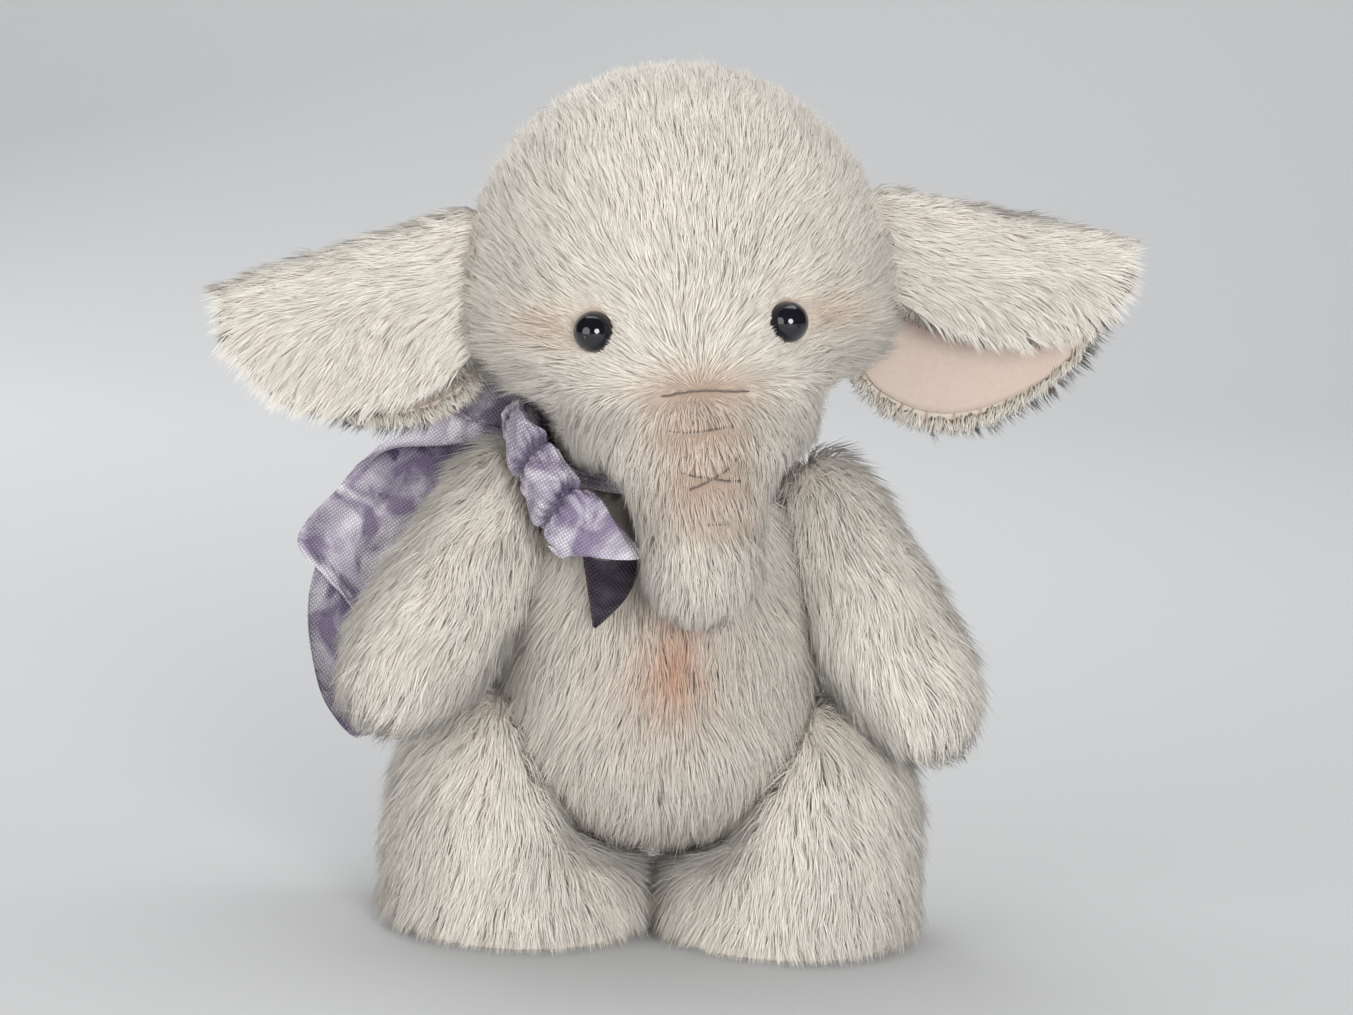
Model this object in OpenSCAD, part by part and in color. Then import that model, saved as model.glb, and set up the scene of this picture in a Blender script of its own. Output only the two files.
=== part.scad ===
// Jointed plush elephant, standing on two round feet.
// The body, head and limbs are stuffed skins of long pile cloth.
// Five disc joints, each a bolt through two boards, carry the head, arms and legs.
// Front faces -Y, up is +Z, the floor is z = 0 and all sizes are in millimetres.

/* [Body] */
// Width of the body across the belly
body_w = 60; // [56:1:64]
// Depth of the body from belly to back
body_d = 56; // [52:1:60]
// Rise of the widest ring above the hip bolts
belly_rise = 16; // [14:1:18]
// Drop from the widest ring to the underside of the belly
belly_drop = 26.5; // [25:0.5:28]
// Rise from the widest ring to the flat face of the neck
neck_rise = 47; // [45:1:50]
// Height of the chest's crown that the face of the neck trims off
neck_trim = 3; // [2:0.5:4]
// Squareness of the belly curve, 2 is a true ellipse
belly_square = 2.1; // [2:0.1:2.4]
// Squareness of the chest curve
chest_square = 2.8; // [2.6:0.1:3]

/* [Head] */
// Radius of the round head
head_r = 40.6; // [40:0.2:41.2]
// Depth by which the round of the head is flattened at the neck
head_sink = 1.6; // [1.2:0.1:2]
// Turn of the head towards the toy's left, in degrees
head_turn = 4; // [-6:1:8]
// Sideways tilt of the head that lifts the left ear, in degrees
head_tilt = 5; // [0:1:6]
// Width of the trunk's root, where it flares into the cheeks
muzzle_w = 36; // [32:1:42]
// Width of the trunk below the flare
trunk_w = 27; // [23:0.5:28]
// Width of the trunk at its rounded end
trunk_end_w = 22; // [20:0.5:24]
// Share of its width by which the jaw draws in below the cheeks
jaw_in = 0.18; // [0:0.01:0.2]
// Thickness of the trunk from front to back
trunk_d = 23; // [20:0.5:24]
// Gap between the trunk's back and the front of the body
trunk_gap = 0.6; // [0.6:0.2:3]
// Drop of the trunk's end below the middle of the head
trunk_drop = 61; // [56:1:66]

/* [Eyes] */
// Diameter of a glass eye
eye_d = 8; // [7:0.5:9]
// Distance between the middles of the eyes
eye_spread = 36.8; // [33:0.2:40]
// Drop of the eyes below the middle of the head
eye_drop = 6; // [3:0.5:9]
// Diameter of the wire shank behind an eye
eye_shank_d = 1.6; // [1.2:0.1:2]
// Length of the shank behind the glass
eye_shank_len = 5; // [4:0.5:7]

/* [Ears] */
// Length of an ear from the head to its tip
ear_len = 48; // [42:1:52]
// Width of an ear laid flat at its root
ear_w = 60; // [56:1:62]
// Width of the part of the left ear that folds over to the front
left_flap = 20; // [16:0.5:24]
// Width of the part of the right ear that folds over to the front
right_flap = 27.5; // [24:0.5:29]
// Height of the fold above the middle of the head
ear_fold_z = 9.5; // [8:0.5:12]
// Droop of the fold line, in degrees
ear_droop = 14; // [10:1:18]
// Inner radius of the fold
ear_fold_r = 3.6; // [3:0.2:4.4]
// Thickness of the ear's pile cloth
ear_pile_t = 2.6; // [2:0.2:3.2]
// Thickness of the ear's lining
ear_lining_t = 1; // [0.8:0.1:1.4]

/* [Arms] */
// Length of an arm from the round of the shoulder to the paw
arm_len = 63; // [58:1:64]
// Height of the shoulder's round above the bolt
arm_top = 14; // [12:0.5:14.5]
// Width of the uncut arm at the shoulder, measured along the bolt
arm_w = 25; // [23:0.5:26]
// Depth of the arm at the shoulder
arm_d = 26; // [24:0.5:27]
// Width of the paw
paw_w = 25; // [22:0.5:26]
// Depth of the paw
paw_d = 26; // [23:0.5:27]
// Depth of the shoulder's face inside the widest part of the body
shoulder_inset = 6.5; // [6.1:0.1:7.5]
// Drop of the shoulder bolt below the face of the neck, where it crosses the shoulder's face
shoulder_drop = 13.5; // [13:0.5:15]
// Squareness of the arm's curve, 2 is a true ellipse
arm_square = 2.5; // [2.3:0.1:2.7]
// Tilt of the shoulder bolt above level, in degrees
shoulder_tilt = 25; // [24:1:27]
// Forward swing of the left arm as it stands, in degrees
left_arm_swing = 20; // [16:1:30]
// Forward swing of the right arm as it stands, in degrees
right_arm_swing = 31; // [24:1:36]

/* [Legs] */
// Diameter of a round foot
foot_d = 49; // [46:0.5:50]
// Distance of a foot's middle outside the hip's face
foot_side = 4; // [3:0.1:5.5]
// Distance that the feet stand in front of the hips
foot_out = 3; // [0:0.5:5]
// Height of a leg from the floor to the round of the thigh
leg_h = 48; // [46:0.5:50]
// Width of the uncut thigh
thigh_w = 45; // [42:0.5:46]
// Depth of the uncut thigh
thigh_d = 45; // [42:0.5:47]
// Distance of the thigh's middle outside the hip's face
thigh_side = 9; // [7.5:0.5:10.5]
// Squareness of the leg's side, 2 is a true ellipse
leg_square = 2.4; // [2.2:0.1:2.6]
// Depth of the hip's face inside the widest part of the body
hip_inset = 7.5; // [7:0.1:8]
// Drop of the hip bolt below the round of the thigh, where it crosses the hip's face
hip_drop = 18; // [17:0.5:19]
// Tilt of the hip bolt below level, in degrees
hip_tilt = 23; // [20:1:25]

/* [Cloth and filling] */
// Thickness of the pile cloth with its pile lying down
skin_t = 3; // [2.5:0.1:3.4]
// Thickness of a sewn-in sole
sole_t = 3; // [2:0.1:4]
// Rounding of the sole's rim
sole_rim = 0.8; // [0.4:0.1:1]

/* [Disc joints] */
// Diameter of the boards in the arms and legs
disc_d = 17; // [15:0.5:18]
// Diameter of the boards in the neck
neck_disc_d = 22; // [20:0.5:23]
// Thickness of a board
disc_t = 2.5; // [2:0.1:3]
// Diameter of a washer
washer_d = 10; // [9:0.5:12]
// Thickness of a washer
washer_t = 0.8; // [0.6:0.1:1]
// Diameter of a bolt
bolt_d = 4; // [3:0.5:4.5]
// Diameter of a bolt's round head
bolt_head_d = 7.6; // [7:0.2:8.6]
// Height of a bolt's head
bolt_head_h = 2.6; // [2:0.2:3]
// Width of a lock nut across its flats
nut_w = 7; // [6.5:0.5:8]
// Height of a lock nut
nut_h = 4.2; // [3.6:0.2:5]
// Bare thread that stands past a nut
bolt_end = 1; // [0.5:0.1:1.5]

/* [Ribbon] */
// Radius of the band round the neck, to the middle of its bundle
band_r = 19.5; // [19.3:0.1:19.7]
// Drop of the band's middle below the face of the neck
band_drop = 0.6; // [0.5:0.1:0.8]
// Width of the gathered band, measured outwards
band_w = 3.6; // [3.2:0.1:3.8]
// Height of the gathered band
band_h = 4; // [3.6:0.1:4.2]
// Diameter of the knot
knot_d = 8.2; // [7.8:0.1:8.4]
// Full width of the ribbon where it hangs open
ribbon_w = 26; // [22:1:28]
// Thickness of the two layers of a hanging loop
loop_t = 1.6; // [1.2:0.1:2]
// Reach of the loop outwards from the knot
loop_reach = 39; // [36:0.5:41]
// Distance by which the loop's end lies behind the knot
loop_back = 9.2; // [9:0.2:12]
// Drop of the loop's end below the knot
loop_drop = 56.8; // [50:0.2:60]
// Width of the gathered tail
tail_w = 13; // [11:0.5:14]
// Thickness of the gathered tail
tail_t = 6; // [5:0.5:6.5]
// Distance of the tail's end from the knot towards the trunk
tail_side = 10.5; // [9.5:0.1:10.7]
// Drop of the tail's end below the knot
tail_drop = 26.8; // [24:0.2:30]

/* [Clearances] */
// Gap between a limb or the head and the body
limb_gap = 0.4; // [0.3:0.1:0.6]
// Gap between the filling and what it packs round
fill_gap = 0.2; // [0.1:0.1:0.4]
// Gap at a sewn edge or a seated face
seam_gap = 0.1; // [0.05:0.05:0.2]
// Gap all round a bolt in its boards and washers
bolt_clear = 0.05; // [0.02:0.01:0.1]
// Gap all round a bolt in the cloth
cloth_clear = 0.3; // [0.2:0.1:0.5]
// Gap along the bolt between a lock nut and its washer
nut_slip = 0.1; // [0.05:0.05:0.2]
// Gap between an eye and its socket
socket_clear = 0.1; // [0.05:0.05:0.2]

/* [Hidden] */
$fn = 48;

// Sides of the toy, and the way each one faces along x
left = "left";
right = "right";
function out(side) = side == left ? 1 : -1;

// Colours
pile_colour = "#e3dac8";
lining_colour = "#eed6c6";
filling_colour = "#f4f2ec";
board_colour = "#8a6a48";
steel_colour = "#b8bcc0";
glass_colour = "#0c0c10";
ribbon_colour = "#a893c4";

// Levels, each carried by the one below it: hip bolts, widest ring, neck, head
hip_z = leg_h - hip_drop;
belly_z = hip_z + belly_rise;
neck_z = belly_z + neck_rise;
head_z = neck_z + head_r - head_sink;
shoulder_z = neck_z - shoulder_drop;
chest_rise = neck_rise + neck_trim;

// Distances from the middle plane
shoulder_x = body_w / 2 - shoulder_inset;
hip_x = body_w / 2 - hip_inset;
foot_x = hip_x + foot_side;
thigh_x = hip_x + thigh_side;

// Distance of the trunk's back from the middle of the head
trunk_back = body_d / 2 + trunk_gap;

// Distance of the upright axis behind the origin, which puts the origin midway
// between the front of the trunk and the back of the head
axis_y = (trunk_back + trunk_d - head_r) / 2;

// Rings and sides of the stuffed forms
body_rings = 15;
body_sides = 24;
limb_rings = 12;
limb_sides = 18;
leg_sides = 20;
fill_rings = 8;
fill_sides = 14;
body_fill_rings = 10;
body_fill_sides = 16;
head_sides = 24;
head_fill_rings = 14;

// How far a cut runs past the face that it opens
cut_past = 1;

// Signed power, which squares off or rounds a curve
function spow(v, e) = sign(v) * pow(abs(v), e);

// Blend from a to b as k goes from 0 to 1
function mix(a, b, k) = a + (b - a) * k;

// Smooth step from 0 to 1
function ease(k) = let (c = min(1, max(0, k))) c * c * (3 - 2 * c);

// Point p pressed back until it lies behind the plane n * p = c
function press(p, n, c) = p - max(0, p * n - c) * n;

// Point at share k along a smooth curve through a list of points
function along(list, k) =
  let (
    last = len(list) - 1,
    i = min(last - 1, floor(k * last)),
    f = k * last - i,
    a = list[max(0, i - 1)],
    b = list[i],
    c = list[i + 1],
    d = list[min(last, i + 2)]
  )
  0.5 * (2 * b + (c - a) * f + (2 * a - 5 * b + 4 * c - d) * f * f
    + (3 * b - a - 3 * c + d) * f * f * f);

// Unit vector
function unit(v) = v / norm(v);

// Closed form of rings between two poles; point(s, a) gives a point at share s and angle a
module ring_form(point, rings, sides) {
  points = concat(
    [point(0, 0)],
    [for (i = [1:rings - 1], j = [0:sides - 1]) point(i / rings, 360 * j / sides)],
    [point(1, 0)]
  );
  last = len(points) - 1;
  start = function(i) 1 + i * sides;
  faces = concat(
    [for (j = [0:sides - 1]) [0, 1 + j, 1 + (j + 1) % sides]],
    [for (i = [0:rings - 3], j = [0:sides - 1])
      [start(i) + j, start(i + 1) + (j + 1) % sides, start(i) + (j + 1) % sides]],
    [for (i = [0:rings - 3], j = [0:sides - 1])
      [start(i) + j, start(i + 1) + j, start(i + 1) + (j + 1) % sides]],
    [for (j = [0:sides - 1]) [last, last - sides + (j + 1) % sides, last - sides + j]]
  );
  polyhedron(points, faces);
}

// Closed sheet of cloth; point(u, v, k) gives its front at k = 0 and its back at k = 1
module sheet_form(point, across, down) {
  points = [for (k = [0, 1], i = [0:across], j = [0:down]) point(i / across, j / down, k)];
  at = function(k, i, j) (k * (across + 1) + i) * (down + 1) + j;
  faces = concat(
    [for (i = [0:across - 1], j = [0:down - 1])
      [at(0, i, j), at(0, i + 1, j), at(0, i + 1, j + 1)]],
    [for (i = [0:across - 1], j = [0:down - 1])
      [at(0, i, j), at(0, i + 1, j + 1), at(0, i, j + 1)]],
    [for (i = [0:across - 1], j = [0:down - 1])
      [at(1, i, j), at(1, i + 1, j + 1), at(1, i + 1, j)]],
    [for (i = [0:across - 1], j = [0:down - 1])
      [at(1, i, j), at(1, i, j + 1), at(1, i + 1, j + 1)]],
    [for (i = [0:across - 1]) [at(0, i, 0), at(1, i, 0), at(1, i + 1, 0)]],
    [for (i = [0:across - 1]) [at(0, i, 0), at(1, i + 1, 0), at(0, i + 1, 0)]],
    [for (i = [0:across - 1]) [at(0, i, down), at(1, i + 1, down), at(1, i, down)]],
    [for (i = [0:across - 1]) [at(0, i, down), at(0, i + 1, down), at(1, i + 1, down)]],
    [for (j = [0:down - 1]) [at(0, 0, j), at(1, 0, j + 1), at(1, 0, j)]],
    [for (j = [0:down - 1]) [at(0, 0, j), at(0, 0, j + 1), at(1, 0, j + 1)]],
    [for (j = [0:down - 1]) [at(0, across, j), at(1, across, j), at(1, across, j + 1)]],
    [for (j = [0:down - 1]) [at(0, across, j), at(1, across, j + 1), at(0, across, j + 1)]]
  );
  polyhedron(points, faces);
}

// Outward directions of the bolts on one side
function shoulder_axis(side) = [out(side) * cos(shoulder_tilt), 0, sin(shoulder_tilt)];
function hip_axis(side) = [out(side) * cos(hip_tilt), 0, -sin(hip_tilt)];
function shoulder_at(side) = [out(side) * shoulder_x, 0, shoulder_z];
function hip_at(side) = [out(side) * hip_x, 0, hip_z];

// Body, an upright egg with flats for the neck, the shoulders and the hips, t below its surface
function body_point(s, a, t) =
  let (
    lat = 180 * s - 90,
    e = 2 / (lat > 0 ? chest_square : belly_square),
    rise = (lat > 0 ? chest_rise : belly_drop) - t,
    wide = pow(max(0, cos(lat)), e),
    egg = [
      (body_w / 2 - t) * wide * cos(a),
      (body_d / 2 - t) * wide * sin(a),
      belly_z + rise * spow(sin(lat), e)
    ],
    topped = press(egg, [0, 0, 1], neck_z - t),
    sl = press(topped, shoulder_axis(left), shoulder_at(left) * shoulder_axis(left) - t),
    sr = press(sl, shoulder_axis(right), shoulder_at(right) * shoulder_axis(right) - t),
    hl = press(sr, hip_axis(left), hip_at(left) * hip_axis(left) - t)
  )
  press(hl, hip_axis(right), hip_at(right) * hip_axis(right) - t);

// Head's own frame turned and tilted into place
function head_pose(p) =
  let (
    x = p.x * cos(head_tilt) - p.z * sin(head_tilt),
    z = p.x * sin(head_tilt) + p.z * cos(head_tilt)
  )
  [x * cos(head_turn) - p.y * sin(head_turn), x * sin(head_turn) + p.y * cos(head_turn), z + head_z];

// Rings of the head: a rounded trunk end, the trunk, then slices of a ball fanning back to the crown
end_rings = 3;
trunk_rings = 4;
ball_rings = 13;
head_rings = end_rings + trunk_rings + ball_rings;
// Angles on the ball, from the front upwards, of the throat, the brow and the crown
throat_angle = -acos(trunk_back / head_r);
brow_angle = -32;
crown_angle = 100;
// Share of the ball's rings over which the muzzle fades into the face
muzzle_fade = 0.3;
// Share of the way from throat to brow at which the muzzle's front starts
muzzle_start = 0.6;
// Power of the curve by which the trunk flares into the muzzle
flare_power = 3;
// Where the jaw starts to draw in and where it is round again, in shares of the head's radius below
// its middle, and the shares over which it does so
jaw_top = 0.2;
jaw_end = 0.88;
jaw_fall = 0.35;
jaw_return = 0.3;

// How far the jaw draws in at height z of the head's own frame, from 0 to 1
function jaw_share(z) =
  ease((-z / head_r - jaw_top) / jaw_fall) * ease((jaw_end + z / head_r) / jaw_return);

// Ring i of the head, t below its surface: front rail, back rail, half width and share of the muzzle
function head_ring(i, t) =
  let (
    r = head_r - t,
    front = -trunk_back - trunk_d + t,
    back = -trunk_back - t,
    half_d = (back - front) / 2,
    tip = -trunk_drop + t,
    throat = r * sin(throat_angle)
  )
  i <= end_rings ?
    let (e = 90 * i / end_rings, z = tip + half_d * (1 - cos(e)), mid = (front + back) / 2)
    [[mid - half_d * sin(e), z], [mid + half_d * sin(e), z], (trunk_end_w / 2 - t) * sin(e), 1]
  : i <= end_rings + trunk_rings ?
    let (k = (i - end_rings) / trunk_rings, z = mix(tip + half_d, throat, k))
    [[front, z], [back, z],
      (mix(trunk_end_w, trunk_w, k) + (muzzle_w - trunk_w) * pow(k, flare_power)) / 2 - t, 1]
  :
    let (
      k = (i - end_rings - trunk_rings) / ball_rings,
      fade = 1 - ease(k / muzzle_fade),
      gf = mix(brow_angle, crown_angle, k),
      gb = mix(throat_angle, crown_angle - 360, k),
      face = r * [-cos(gf), sin(gf)],
      half_w = r * sin((gf - gb) / 2)
    )
    [mix(face, [front, mix(throat, face.y, muzzle_start)], fade), r * [-cos(gb), sin(gb)],
      sqrt(half_w * half_w + fade * pow(muzzle_w / 2 - t, 2)), fade];

function head_point(s, a, t) =
  let (
    i = s * head_rings,
    ring = head_ring(i, t),
    mid = (ring[0] + ring[1]) / 2,
    half = (ring[1] - ring[0]) / 2,
    z = mid.y + half.y * sin(a),
    wide = 1 - jaw_in * (1 - ring[3]) * jaw_share(z),
    p = head_pose([ring[2] * wide * cos(a), mid.x + half.x * sin(a), z])
  )
  i > end_rings + trunk_rings ? press(p, [0, 0, -1], -(neck_z + limb_gap + t)) : p;

// Share of the arm's width that the shoulder's face trims off
shoulder_cut = 0.15;
// Distance by which the paw stands out past the shoulder's face
paw_out = 1;

// Arm in its own frame: x outwards along the bolt from the shoulder's face, z up, y back
function arm_point(s, a, t) =
  let (
    lat = 180 * s - 90,
    e = 2 / arm_square,
    half = arm_len / 2 - t,
    z = arm_top - arm_len / 2 + half * spow(sin(lat), e),
    wide = pow(max(0, cos(lat)), e),
    k = ease(-z / (arm_len - arm_top)),
    half_w = mix(arm_w, paw_w, k) / 2 - t,
    half_d = mix(arm_d, paw_d, k) / 2 - t,
    mid = limb_gap + t + half_w - mix(arm_w * shoulder_cut, -paw_out, k)
  )
  press([mid + half_w * wide * cos(a), half_d * wide * sin(a), z], [-1, 0, 0], -(limb_gap + t));

// Radius of the flat on the hip, and the rounding of the belly below it
hip_flat_r = 14;
hip_round = 22;
// Share of the straight-down direction below which the leg stays clear of the hip's face
hip_wrap = 0.45;

// How far the leg may reach past the hip's face under the belly, at v from the bolt
function hip_fall(v) =
  let (r = norm(v), down = r > 0 ? v * [-sin(hip_tilt), 0, -cos(hip_tilt)] / r : 0)
  max(0, r * r - hip_flat_r * hip_flat_r) / (2 * hip_round)
    * min(1, max(0, (down - hip_wrap) / hip_wrap));

// Left leg as it stands, a round column that is hollowed where it turns past the body
function leg_point(s, a, t, base, rings) =
  let (
    first = 1 / rings,
    k = s < first ? 0 : (s - first) / (1 - first),
    lat = 90 * k,
    e = 2 / leg_square,
    z = base + (leg_h - t - base) * pow(sin(lat), e),
    wide = s == 0 ? 0 : pow(max(0, cos(lat)), e),
    up = z / leg_h,
    half_w = mix(foot_d, thigh_w, up) / 2 - t,
    half_d = mix(foot_d, thigh_d, up) / 2 - t,
    p = [
      mix(foot_x, thigh_x, up) + half_w * wide * cos(a),
      -foot_out * (1 - ease(up)) + half_d * wide * sin(a),
      z
    ],
    n = hip_axis(left),
    off = (p - hip_at(left)) * n,
    v = p - hip_at(left) - off * n
  )
  p + max(0, limb_gap + t - hip_fall(v) - off) * n;

// Toy's own frame, with the upright axis through the neck at x = 0 and y = 0
module toy() {
  translate([0, axis_y, 0]) children();
}

// Frames of the joints, with x along the bolt, outwards from the joint's face
module on_side(side) {
  if (side == left) children();
  else mirror([1, 0, 0]) children();
}

module at_shoulder(side, swing = 0) {
  toy() on_side(side) translate([shoulder_x, 0, shoulder_z]) rotate([0, -shoulder_tilt, 0])
    rotate([-swing, 0, 0]) children();
}

module at_hip(side) {
  toy() on_side(side) translate([hip_x, 0, hip_z]) rotate([0, hip_tilt, 0]) children();
}

module at_neck() {
  toy() translate([0, 0, neck_z]) rotate([0, -90, 0]) children();
}

module in_head() {
  toy() translate([0, 0, head_z]) rotate([0, -head_tilt, head_turn]) children();
}

// Rod along x from x0 to x1
module rod(d, x0, x1) {
  translate([x0, 0, 0]) rotate([0, 90, 0]) cylinder(d = d, h = x1 - x0);
}

// Flat ring along x with a bore for the bolt
module ring(d, bore, x0, x1) {
  difference() {
    rod(d, x0, x1);
    rod(bore, x0 - cut_past, x1 + cut_past);
  }
}

// Stations along a bolt, measured outwards from the body's face
bolt_bore = bolt_d + 2 * bolt_clear;
cloth_bore = bolt_d + 2 * cloth_clear;
limb_disc_x = limb_gap + skin_t + seam_gap;
limb_washer_x = limb_disc_x + disc_t;
bolt_head_x = limb_washer_x + washer_t;
body_disc_x = -skin_t - seam_gap - disc_t;
body_washer_x = body_disc_x - washer_t;
nut_x = body_washer_x - nut_slip - nut_h;
bolt_tip_x = nut_x - bolt_end;

module limb_disc(d) {
  color(board_colour) ring(d, bolt_bore, limb_disc_x, limb_disc_x + disc_t);
}

module limb_washer() {
  color(steel_colour) ring(washer_d, bolt_bore, limb_washer_x, limb_washer_x + washer_t);
}

module body_disc(d) {
  color(board_colour) ring(d, bolt_bore, body_disc_x, body_disc_x + disc_t);
}

module body_washer() {
  color(steel_colour) ring(washer_d, bolt_bore, body_washer_x, body_washer_x + washer_t);
}

// Bolt with a low round head, bevelled at its edge
bolt_bevel = 0.4;
head_bevel = 0.4;

module joint_bolt() {
  head_edge = bolt_head_h * head_bevel;
  under_head = bolt_head_x - bolt_tip_x;
  color(steel_colour) translate([bolt_tip_x, 0, 0]) rotate([0, 90, 0]) rotate_extrude()
    polygon([
      [0, 0],
      [bolt_d / 2 - bolt_bevel, 0],
      [bolt_d / 2, bolt_bevel],
      [bolt_d / 2, under_head],
      [bolt_head_d / 2, under_head],
      [bolt_head_d / 2, under_head + bolt_head_h - head_edge],
      [bolt_head_d / 2 - head_edge, under_head + bolt_head_h],
      [0, under_head + bolt_head_h]
    ]);
}

// Six-sided nut with a round collar that grips the thread, its shares of the nut's height and width
collar_high = 0.3;
collar_wide = 0.9;

module lock_nut() {
  collar = nut_h * collar_high;
  color(steel_colour) difference() {
    union() {
      translate([nut_x + collar, 0, 0]) rotate([0, 90, 0])
        cylinder(d = nut_w / cos(30), h = nut_h - collar, $fn = 6);
      rod(nut_w * collar_wide, nut_x, nut_x + collar);
    }
    rod(bolt_bore, nut_x - cut_past, nut_x + nut_h + cut_past);
  }
}

// Room in the filling for the hardware on each side of a joint
module limb_pocket(d) {
  rod(d + 2 * fill_gap, 0, limb_washer_x + fill_gap);
  rod(washer_d + 2 * fill_gap, 0, bolt_head_x + bolt_head_h + fill_gap);
}

module body_pocket(d) {
  rod(d + 2 * fill_gap, body_disc_x - fill_gap, 0);
  rod(washer_d + 2 * fill_gap, bolt_tip_x - fill_gap, 0);
}

// Room behind the cloth for a board, with the hole for the bolt
module limb_seat(d) {
  rod(d + 2 * seam_gap, limb_gap + skin_t, bolt_head_x);
  rod(cloth_bore, limb_gap - cut_past, bolt_head_x);
}

module body_seat(d) {
  rod(d + 2 * seam_gap, body_washer_x, -skin_t);
  rod(cloth_bore, body_washer_x, cut_past);
}

module body_skin() {
  color(pile_colour) difference() {
    toy() ring_form(function(s, a) body_point(s, a, 0), body_rings, body_sides);
    toy() ring_form(function(s, a) body_point(s, a, skin_t), body_fill_rings, body_fill_sides);
    at_neck() body_seat(neck_disc_d);
    for (side = [left, right]) {
      at_shoulder(side) body_seat(disc_d);
      at_hip(side) body_seat(disc_d);
    }
  }
}

module body_stuffing() {
  color(filling_colour) difference() {
    toy()
      ring_form(function(s, a) body_point(s, a, skin_t + fill_gap), body_fill_rings, body_fill_sides);
    at_neck() body_pocket(neck_disc_d);
    for (side = [left, right]) {
      at_shoulder(side) body_pocket(disc_d);
      at_hip(side) body_pocket(disc_d);
    }
  }
}

module neck_body_disc() {
  at_neck() body_disc(neck_disc_d);
}

module left_shoulder_body_disc() {
  at_shoulder(left) body_disc(disc_d);
}

module right_shoulder_body_disc() {
  at_shoulder(right) body_disc(disc_d);
}

module left_hip_body_disc() {
  at_hip(left) body_disc(disc_d);
}

module right_hip_body_disc() {
  at_hip(right) body_disc(disc_d);
}

module body_washers() {
  at_neck() body_washer();
  for (side = [left, right]) {
    at_shoulder(side) body_washer();
    at_hip(side) body_washer();
  }
}

// Ribbon, gathered round the neck and tied behind the right shoulder
band_z = neck_z - band_drop;
knot_turn = 150;
knot_lift = 1.4;
knot_r = band_r + band_w / 2 + knot_d / 2 + seam_gap;
knot_z = band_z + knot_lift;
knot_at = [knot_r * cos(knot_turn), knot_r * sin(knot_turn), knot_z];

// Line that leaves the knot towards the first of the points and follows them
function from_knot(list, gap) =
  concat([knot_at + (knot_d / 2 + gap) * unit(list[0] - knot_at)], list);

// Depth of the gathers in the band and the knot, as a share of their size
gather_depth = 0.06;

// Gathered outline at angle a, with n gathers
function gathered(a, n) = 1 - gather_depth * (1 + cos(n * a));

// Band with lengthwise gathers
band_steps = 20;
band_gathers = 5;

module ribbon_band() {
  color(ribbon_colour) toy() rotate_extrude()
    polygon([for (i = [0:band_steps - 1])
      let (a = 360 * i / band_steps, g = gathered(a, band_gathers))
      [band_r + band_w / 2 * g * cos(a), band_z + band_h / 2 * g * sin(a)]]);
}

// Knot with the ribbon wrapped round it
knot_rings = 8;
knot_sides = 12;
knot_gathers = 4;

function knot_point(s, a) =
  let (lat = 180 * s - 90, wide = cos(lat) * gathered(a, knot_gathers))
  knot_d / 2 * [wide * cos(a), wide * sin(a), sin(lat)];

module ribbon_knot() {
  color(ribbon_colour) toy() translate(knot_at)
    ring_form(function(s, a) knot_point(s, a), knot_rings, knot_sides);
}

// Step along a line, as a share of it, over which its direction is taken
line_step = 0.02;
function way_along(line, k) =
  unit(along(line, min(1, k + line_step)) - along(line, max(0, k - line_step)));

// Middle line of the open loop, which hangs behind the right arm: shares of its reach, its
// way back and its drop
loop_shape = [
  [0.357, 0.462, -0.03], [0.626, 0.571, 0.102], [0.895, 0.788, 0.278],
  [0.998, 0.897, 0.525], [0.921, 0.897, 0.771], [0.741, 1, 1]
];
loop_line = from_knot(
  [for (p = loop_shape) knot_at + [-loop_reach * p.x, loop_back * p.y, -loop_drop * p.z]],
  fill_gap
);
// Width along the loop as a share of the ribbon's width, gathered at the knot
loop_spread = [0.26, 0.5, 0.85, 1, 1, 1, 0.8];
// Depth of the loop's lengthwise folds, their number, and their turn along the loop in degrees
loop_fold = 1.2;
loop_folds = 1.5;
loop_turn = 120;
loop_across = 6;
loop_down = 14;

function loop_point(u, v, k) =
  let (
    here = along(loop_line, v),
    side = unit(cross([0, 1, 0], way_along(loop_line, v))),
    half = ribbon_w / 2 * along(loop_spread, v),
    wave = loop_fold * cos(360 * loop_folds * u + loop_turn * v) * along(loop_spread, v)
  )
  here + side * half * (2 * u - 1) + [0, wave + (k - 1 / 2) * loop_t, 0];

module ribbon_loop() {
  color(ribbon_colour) toy()
    sheet_form(function(u, v, k) loop_point(u, v, 1 - k), loop_across, loop_down);
}

// Middle line of the gathered tail, over the right shoulder and down beside the trunk: shares of
// its way to the side, its way to the front of the chest and its drop
tail_front = knot_at.y + body_d / 2 + tail_t / 2;
tail_shape = [
  [-0.373, 0.131, -0.187], [-0.802, 0.314, -0.25], [-0.611, 0.589, -0.194], [-0.087, 0.806, 0.03],
  [0.484, 0.931, 0.291], [0.913, 1, 0.59], [0.998, 1, 1]
];
tail_line = from_knot(
  [for (p = tail_shape) knot_at + [tail_side * p.x, -tail_front * p.y, -tail_drop * p.z]],
  fill_gap
);
// Width and thickness along the tail as shares of its full size
tail_spread = [0.4, 0.5, 0.55, 0.75, 1, 1, 1.1, 0.15];
tail_body = [0.5, 0.5, 0.6, 0.8, 1, 1, 0.6, 0.2];
// Gathers along the tail and their depth
tail_gathers = 5;
tail_pinch = 0.12;
tail_rings = 20;
tail_sides = 10;

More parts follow.
